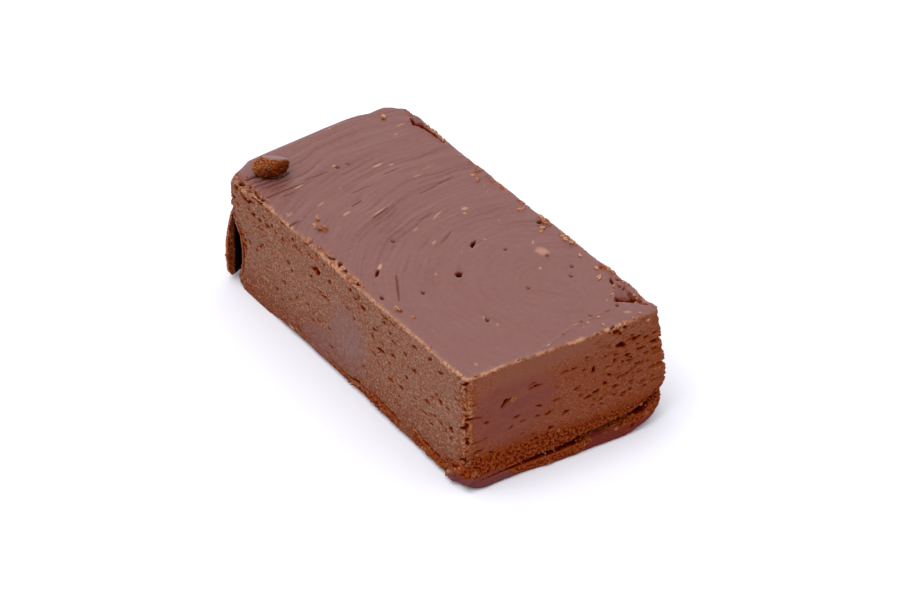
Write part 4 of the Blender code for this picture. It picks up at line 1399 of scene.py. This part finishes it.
# %% Crumbs on the top and on the cuts
# Place along and across the face, half length, half width, half height, turn in degrees,
# and tint from dark to pale. The top is measured along x and y, the long cut along x and
# z, the short cut along y and z.
TOP_CRUMBS = (
    (-12, -20.9, 0.9, 0.59, 0.45, 10, 0.55), (-18, -15.2, 0.99, 0.32, 0.27, -22, 0.75),
    (-17.2, -15.6, 0.45, 0.27, 0.18, -22, 0), (-16, -17.1, 0.99, 0.27, 0.23, -22, 0.85),
    (-14, -16.3, 0.85, 0.72, 0.5, 20, 0.2), (-14.4, -15.9, 0.36, 0.36, 0.45, 20, 0.7),
    (-32.5, -2.5, 0.32, 0.45, 0.23, 20, 1), (-43.3, 16.2, 0.81, 0.41, 0.32, -30, 1),
    (-42.6, 15.7, 0.45, 0.36, 0.32, 0, 0.15), (16.3, -19, 0.81, 0.45, 0.36, 0, 0.7),
    (17.4, -18.9, 0.36, 0.41, 0.32, 0, 0), (20.3, -18, 0.5, 0.32, 0.27, 20, 0.6),
    (24.1, 5.3, 0.45, 0.36, 0.27, 0, 0.35), (17.2, 14.4, 0.32, 0.32, 0.23, 0, 0.1),
    (28.7, 18.4, 0.9, 0.36, 0.27, -50, 0.85), (25.8, 19.9, 0.5, 0.32, 0.27, 0, 0.9),
    (20.5, 19.9, 0.5, 0.32, 0.27, 0, 0.9), (8.6, 19.4, 0.56, 0.48, 0.32, 0, 0.8),
    (9.6, 18.5, 0.4, 0.32, 0.24, 0, 0.75), (7.4, 20.8, 0.72, 0.48, 0.4, 0, 0.6),
    (5.8, 21.2, 0.56, 0.32, 0.32, 0, 0.9), (13.2, 20.9, 0.48, 0.32, 0.32, 0, 0.95),
    (14.6, 20.7, 0.64, 0.4, 0.32, 0, 0.85), (16.2, 20.9, 0.4, 0.4, 0.32, 0, 0.8),
    (12.3, 21.3, 0.32, 0.24, 0.24, 0, 0.7), (0.7, 19.8, 0.32, 0.9, 0.23, -15, 0.7),
    (-12.6, 18.6, 0.54, 0.45, 0.32, 0, 0.6), (-15.3, 20.6, 0.32, 0.81, 0.23, -20, 0.4),
    (-14.7, 18.8, 0.23, 0.63, 0.18, -20, 0.9), (-28.6, 21.2, 0.41, 0.27, 0.36, 0, 0.8),
    (-30.2, 21.3, 0.45, 0.27, 0.36, 0, 0.9), (-31.9, 21.5, 0.45, 0.32, 0.45, 0, 0.8),
    (-33.4, 21.6, 0.54, 0.27, 0.45, 0, 0.85), (-34.8, 21.5, 0.45, 0.27, 0.45, 0, 0.7),
    (-41, 21.4, 0.45, 0.18, 0.27, 0, 0.6), (35.9, 15.1, 0.34, 0.22, 0.11, 0, 0.7),
    (33.6, 18.2, 0.38, 0.19, 0.22, -40, 0.6), (34.6, 17, 0.34, 0.19, 0.19, -40, 0.75),
    (32.4, 19.1, 0.45, 0.22, 0.22, -20, 0.8), (37.9, 20.4, 0.63, 0.32, 0.36, -20, 0.6),
    (39.3, 20.2, 0.54, 0.27, 0.32, 30, 0.7), (36.4, 21.1, 0.45, 0.27, 0.27, 0, 0.8),
    (38.5, 13.2, 0.27, 0.36, 0.14, 0, 0.4), (38.3, 9.7, 0.27, 0.32, 0.14, 0, 0.35),
    (38.9, 7, 0.27, 0.32, 0.14, 0, 0.2), (39.1, 5.6, 0.18, 0.45, 0.09, 0, 0.8),
    (40.2, 1.9, 0.27, 0.32, 0.14, 0, 0.5), (41.7, -2.4, 0.18, 0.54, 0.09, 12, 0.85),
    (39.3, 10.6, 0.32, 0.27, 0.09, 0, 0.9), (42, 9.8, 0.58, 0.25, 0.22, 0, 0.76),
    (43.4, 13.4, 0.36, 0.65, 0.29, 0, 0.6), (43.2, 15.8, 0.25, 0.36, 0.22, 30, 0.64),
    (42.6, 17.8, 0.36, 0.22, 0.18, 20, 0.68), (43.7, 18.6, 0.29, 0.43, 0.22, 0, 0.6),
    (40.2, -21, 0.81, 0.45, 0.41, 0, 0.9), (-36.4, -20.3, 0.37, 0.26, 0.21, 20, 0.56),
    (-38.4, -20.6, 0.32, 0.21, 0.18, -20, 0.42), (-34.6, -21.4, 0.42, 0.21, 0.21, 10, 0.52),
    (-32.4, -20.4, 0.37, 0.18, 0.18, -15, 0.49), (-30.4, -21.5, 0.32, 0.16, 0.18, 0, 0.56),
    (-8.9, -20.2, 0.37, 0.31, 0.25, 0, 0.52), (-6.4, -20, 0.43, 0.25, 0.22, 0, 0.6),
    (-3.6, -20.6, 0.37, 0.31, 0.25, 20, 0.48), (-0.6, -20.1, 0.5, 0.31, 0.25, -10, 0.68),
    (2.2, -20.6, 0.37, 0.25, 0.25, 0, 0.6), (4, -20.4, 0.31, 0.25, 0.19, 0, 0.48),
)
LONG_CUT_CRUMBS = (
    (37.4, 1.2, 0.6, 0.5, 0.4, 20, 0.3), (38.6, 2.4, 0.4, 0.35, 0.35, 0, 0.6),
    (36.6, 2.4, 0.35, 0.3, 0.3, 0, 0.2), (39.9, 3.4, 0.4, 0.3, 0.3, 30, 0.65),
    (41.2, 4.4, 0.35, 0.3, 0.3, 30, 0.55), (28.6, 1.5, 0.4, 0.25, 0.25, 0, 0.35),
    (30.4, 1, 0.45, 0.25, 0.25, 10, 0.2), (34, 1.2, 0.4, 0.25, 0.25, 0, 0.3),
    (14.6, 1.8, 0.4, 0.22, 0.2, 0, 0.35), (3.6, 1.4, 0.35, 0.2, 0.2, 0, 0.4),
    (-18.8, 1.6, 0.9, 0.25, 0.15, 0, 0.75), (-15.6, 3.2, 0.3, 0.3, 0.2, 0, 0.45),
    (-35.6, 3.4, 0.3, 0.4, 0.2, 0, 0.45),
)
SHORT_CUT_CRUMBS = (
    (-11, 17.3, 0.65, 0.5, 0.25, 30, 0.28), (-20.6, 5.6, 0.4, 0.35, 0.25, 0, 0.4),
    (-19.8, 3.4, 0.4, 0.3, 0.25, 0, 0.35), (1.6, 9.4, 0.45, 0.35, 0.15, 0, 0.22),
    (12.8, 23.9, 0.4, 0.3, 0.25, 0, 0.45), (10.8, 23.4, 0.3, 0.25, 0.2, 0, 0.35),
)
# For each face: its crumbs, its three axes (along, across, out), and where rays start, mm.
CRUMB_FACES = (
    (TOP_CRUMBS, ((1, 0, 0), (0, 1, 0), (0, 0, 1)), 40.0),
    (LONG_CUT_CRUMBS, ((1, 0, 0), (0, 0, 1), (0, -1, 0)), 60.0),
    (SHORT_CUT_CRUMBS, ((0, 1, 0), (0, 0, 1), (1, 0, 0)), 90.0),
)

# %% Make the loose crumbs
ROUGHNESS = 0.75  # how far a crumb's points wander, as a share of its radius


def lump(bm, centre, axes, row, tints):
    """Adds one uneven ball to a mesh and remembers its tint."""
    across, up, *halves, turn, tint = row
    seed = Vector((across, up, 0.0))
    ball = bmesh.ops.create_icosphere(bm, subdivisions=3, radius=1.0)["verts"]
    facing = Matrix(axes).transposed() @ Euler((0.0, 0.0, math.radians(turn))).to_matrix()
    for vert in ball:
        swell = noise.fractal(vert.co * 1.5 + seed, 1.0, 2.0, 4)
        swell += 0.35 * noise.noise(vert.co * 4.5 + seed)
        local = Vector([c * half for c, half in zip(vert.co, halves)])
        vert.co = centre + facing @ local * (1.0 + ROUGHNESS * swell) * MM
    tints.extend([tint] * len(ball))


def loose_crumbs():
    tree = BVHTree.FromObject(fudge, bpy.context.evaluated_depsgraph_get())
    bm = bmesh.new()
    tints = []
    for rows, axes, start in CRUMB_FACES:
        along, across, out = (Vector(axis) for axis in axes)
        for row in rows:
            ray = from_datum(*(along * row[0] + across * row[1] + out * start))
            hit, _, _, _ = tree.ray_cast(ray, -out)
            lump(bm, hit + out * 0.15 * row[4] * MM, axes, row, tints)
    mesh = bpy.data.meshes.new("top_crumbs")
    bm.to_mesh(mesh)
    bm.free()
    write_note(mesh, "tint", tints)
    print("loose crumbs:", len(mesh.polygons), "faces")
    return add_object("top_crumbs", mesh)


loose = loose_crumbs()
grow(measure_hollows, loose, Datum=tuple(DATUM))

# %% [markdown]
# ## Crumbs that cling to torn ground
#
# Hundreds of small lumps cling to the edges, the feet of the cuts, and the torn corners.
# Geometry Nodes scatter one lump over the bar, thickly where the ground is torn, give each
# its own size and turn, and then push all their points about so that no two are alike.


# %% Scatter tree
SQUARE_MM_PER_SQUARE_M = 1e6
FULL_TURN = 6.28


def scatter_tree():
    settings = {
        "Datum": (0.0, 0.0, 0.0),
        "Per Square": 0.7,
        "Smallest": 0.10,
        "Largest": 0.45,
        "Unevenness": 0.30,
        "Seed": 5,
    }
    g, given = new_tree("clinging_crumbs", settings, material=True)

    def random(seed, kind="FLOAT", **limits):
        inputs = {"Seed": seed, **limits}
        return g.read("FunctionNodeRandomValue", inputs, "Value", data_type=kind)

    _, _, rear = g.parts(named(g, "sides"))
    _, crumbly, edge = g.parts(named(g, "zones"))
    place, _ = own_place(g, given["Datum"])
    clumps = g.ramp(g.noise(place, 2.4, 2.0), 0.42, 0.62)
    thick = edge * clumps * (1.0 - rear * 0.6) + crumbly * 0.3
    inputs = {
        "Mesh": given["Geometry"],
        "Density": thick * given["Per Square"] * SQUARE_MM_PER_SQUARE_M,
        "Seed": given["Seed"],
    }
    points = g.read("GeometryNodeDistributePointsOnFaces", inputs, "Points")

    # Each point gets a lump with a size, a turn and a shape of its own.
    rarely = g.math("POWER", random(1), 3.0)
    size = given["Smallest"] + (given["Largest"] - given["Smallest"]) * rarely
    turn = random(2, "FLOAT_VECTOR", Max=(FULL_TURN,) * 3)
    squash = random(3, "FLOAT_VECTOR", Min=(0.7, 0.7, 0.6), Max=(1.4, 1.2, 1.0))
    inputs = {
        "Points": points,
        "Instance": g.read("GeometryNodeMeshIcoSphere", {"Subdivisions": 2}, "Mesh"),
        "Rotation": g.read("FunctionNodeEulerToRotation", {0: turn}),
        "Scale": g.scaled(squash, size * MM),
    }
    lumps = g.read("GeometryNodeInstanceOnPoints", inputs)
    tint = (0.3 + random(4) * 0.7) * (0.25 + edge * 0.75)
    lumps = keep(g, lumps, "tint", tint, "FLOAT", "INSTANCE")
    lumps = g.read("GeometryNodeRealizeInstances", {"Geometry": lumps})
    own, normal = own_place(g, given["Datum"])
    push = (g.noise(own, 0.35, 1.0) - 0.5) * given["Unevenness"] * 2.0
    lumps = moved(g, lumps, g.scaled(normal, push * MM))
    inputs = {"Geometry": lumps, "Material": given["Material"]}
    g.node("NodeGroupOutput", {0: g.read("GeometryNodeSetMaterial", inputs)})
    return g.tree


# %% Material of small crumbs
def small_crumb_material():
    material, g, shader = new_material("small_crumb")
    place = g.scaled(g.read("ShaderNodeTexCoord", output="Object"), 1000.0)
    tint = attribute(g, "tint", "Fac")
    uneven = tint + (g.noise(place, 0.5, 2.0) - 0.5) * 1.2
    colour = g.mix(g.ramp(uneven, 0.15, 1.05), TORN_ORANGE, TAN)
    cavity = attribute(g, "cavity", "Fac") * 1.6
    given = dict(Colour=colour, Pale=g.mix(tint, TAN_ORANGE, TAN), Place=place, Cavity=cavity)
    grain = apply_broken_look(g, shader, Broken=0.8, Crumbly=0.7, **given)
    shader.inputs["Roughness"].default_value = 0.85
    add_bump(g, shader, grain * 0.12)
    return material


small_crumb = small_crumb_material()
clinging = add_object("edge_crumbs", fudge.data.copy())
grow(scatter_tree(), clinging, Datum=tuple(DATUM), Material=small_crumb)
grow(measure_hollows, clinging, Datum=tuple(DATUM))
for piece in (loose, clinging):
    piece.data.shade_smooth()
    dress(piece, small_crumb)

# %% [markdown]
# ## Table and light
#
# A white table in a white room, bright enough to lose its horizon. The room gives almost
# all the light, so shadows only gather where the bar meets the table. One large lamp
# overhead and to the left brings out the relief.

# %% Table
TABLE_HALF = 3.0
table_mesh = bpy.data.meshes.new("table")
signs = ((-1, -1), (1, -1), (1, 1), (-1, 1))
corners = [(sx * TABLE_HALF, sy * TABLE_HALF, 0.0) for sx, sy in signs]
table_mesh.from_pydata(corners, [], [(0, 1, 2, 3)])
table = add_object("table", table_mesh)
table_white = bpy.data.materials.new("table_white")
table_white.use_nodes = True
table_shader = table_white.node_tree.nodes["Principled BSDF"]
table_shader.inputs["Base Color"].default_value = (0.835, 0.845, 0.915, 1.0)
table_shader.inputs["Roughness"].default_value = 0.9
table_shader.inputs["Specular IOR Level"].default_value = 0.1
table_mesh.materials.append(table_white)


# %% Lights
def soft_light(name, place, aim, size, power):
    data = bpy.data.lights.new(name, "AREA")
    data.shape = "SQUARE"
    data.size = size
    data.energy = power
    light = add_object(name, data)
    light.location = place
    light.rotation_euler = (Vector(place) - Vector(aim)).to_track_quat("Z", "Y").to_euler()


ROOM_LIGHT = 1.06
world = bpy.data.worlds.new("white_room")
world.use_nodes = True
world.node_tree.nodes["Background"].inputs["Color"].default_value = (1.0, 1.0, 1.0, 1.0)
world.node_tree.nodes["Background"].inputs["Strength"].default_value = ROOM_LIGHT
bpy.context.scene.world = world
soft_light("overhead", (0.0, -0.3, 0.9), (0.0, 0.0, 0.0), 0.6, 3.9)
bpy.context.scene.view_settings.view_transform = "Standard"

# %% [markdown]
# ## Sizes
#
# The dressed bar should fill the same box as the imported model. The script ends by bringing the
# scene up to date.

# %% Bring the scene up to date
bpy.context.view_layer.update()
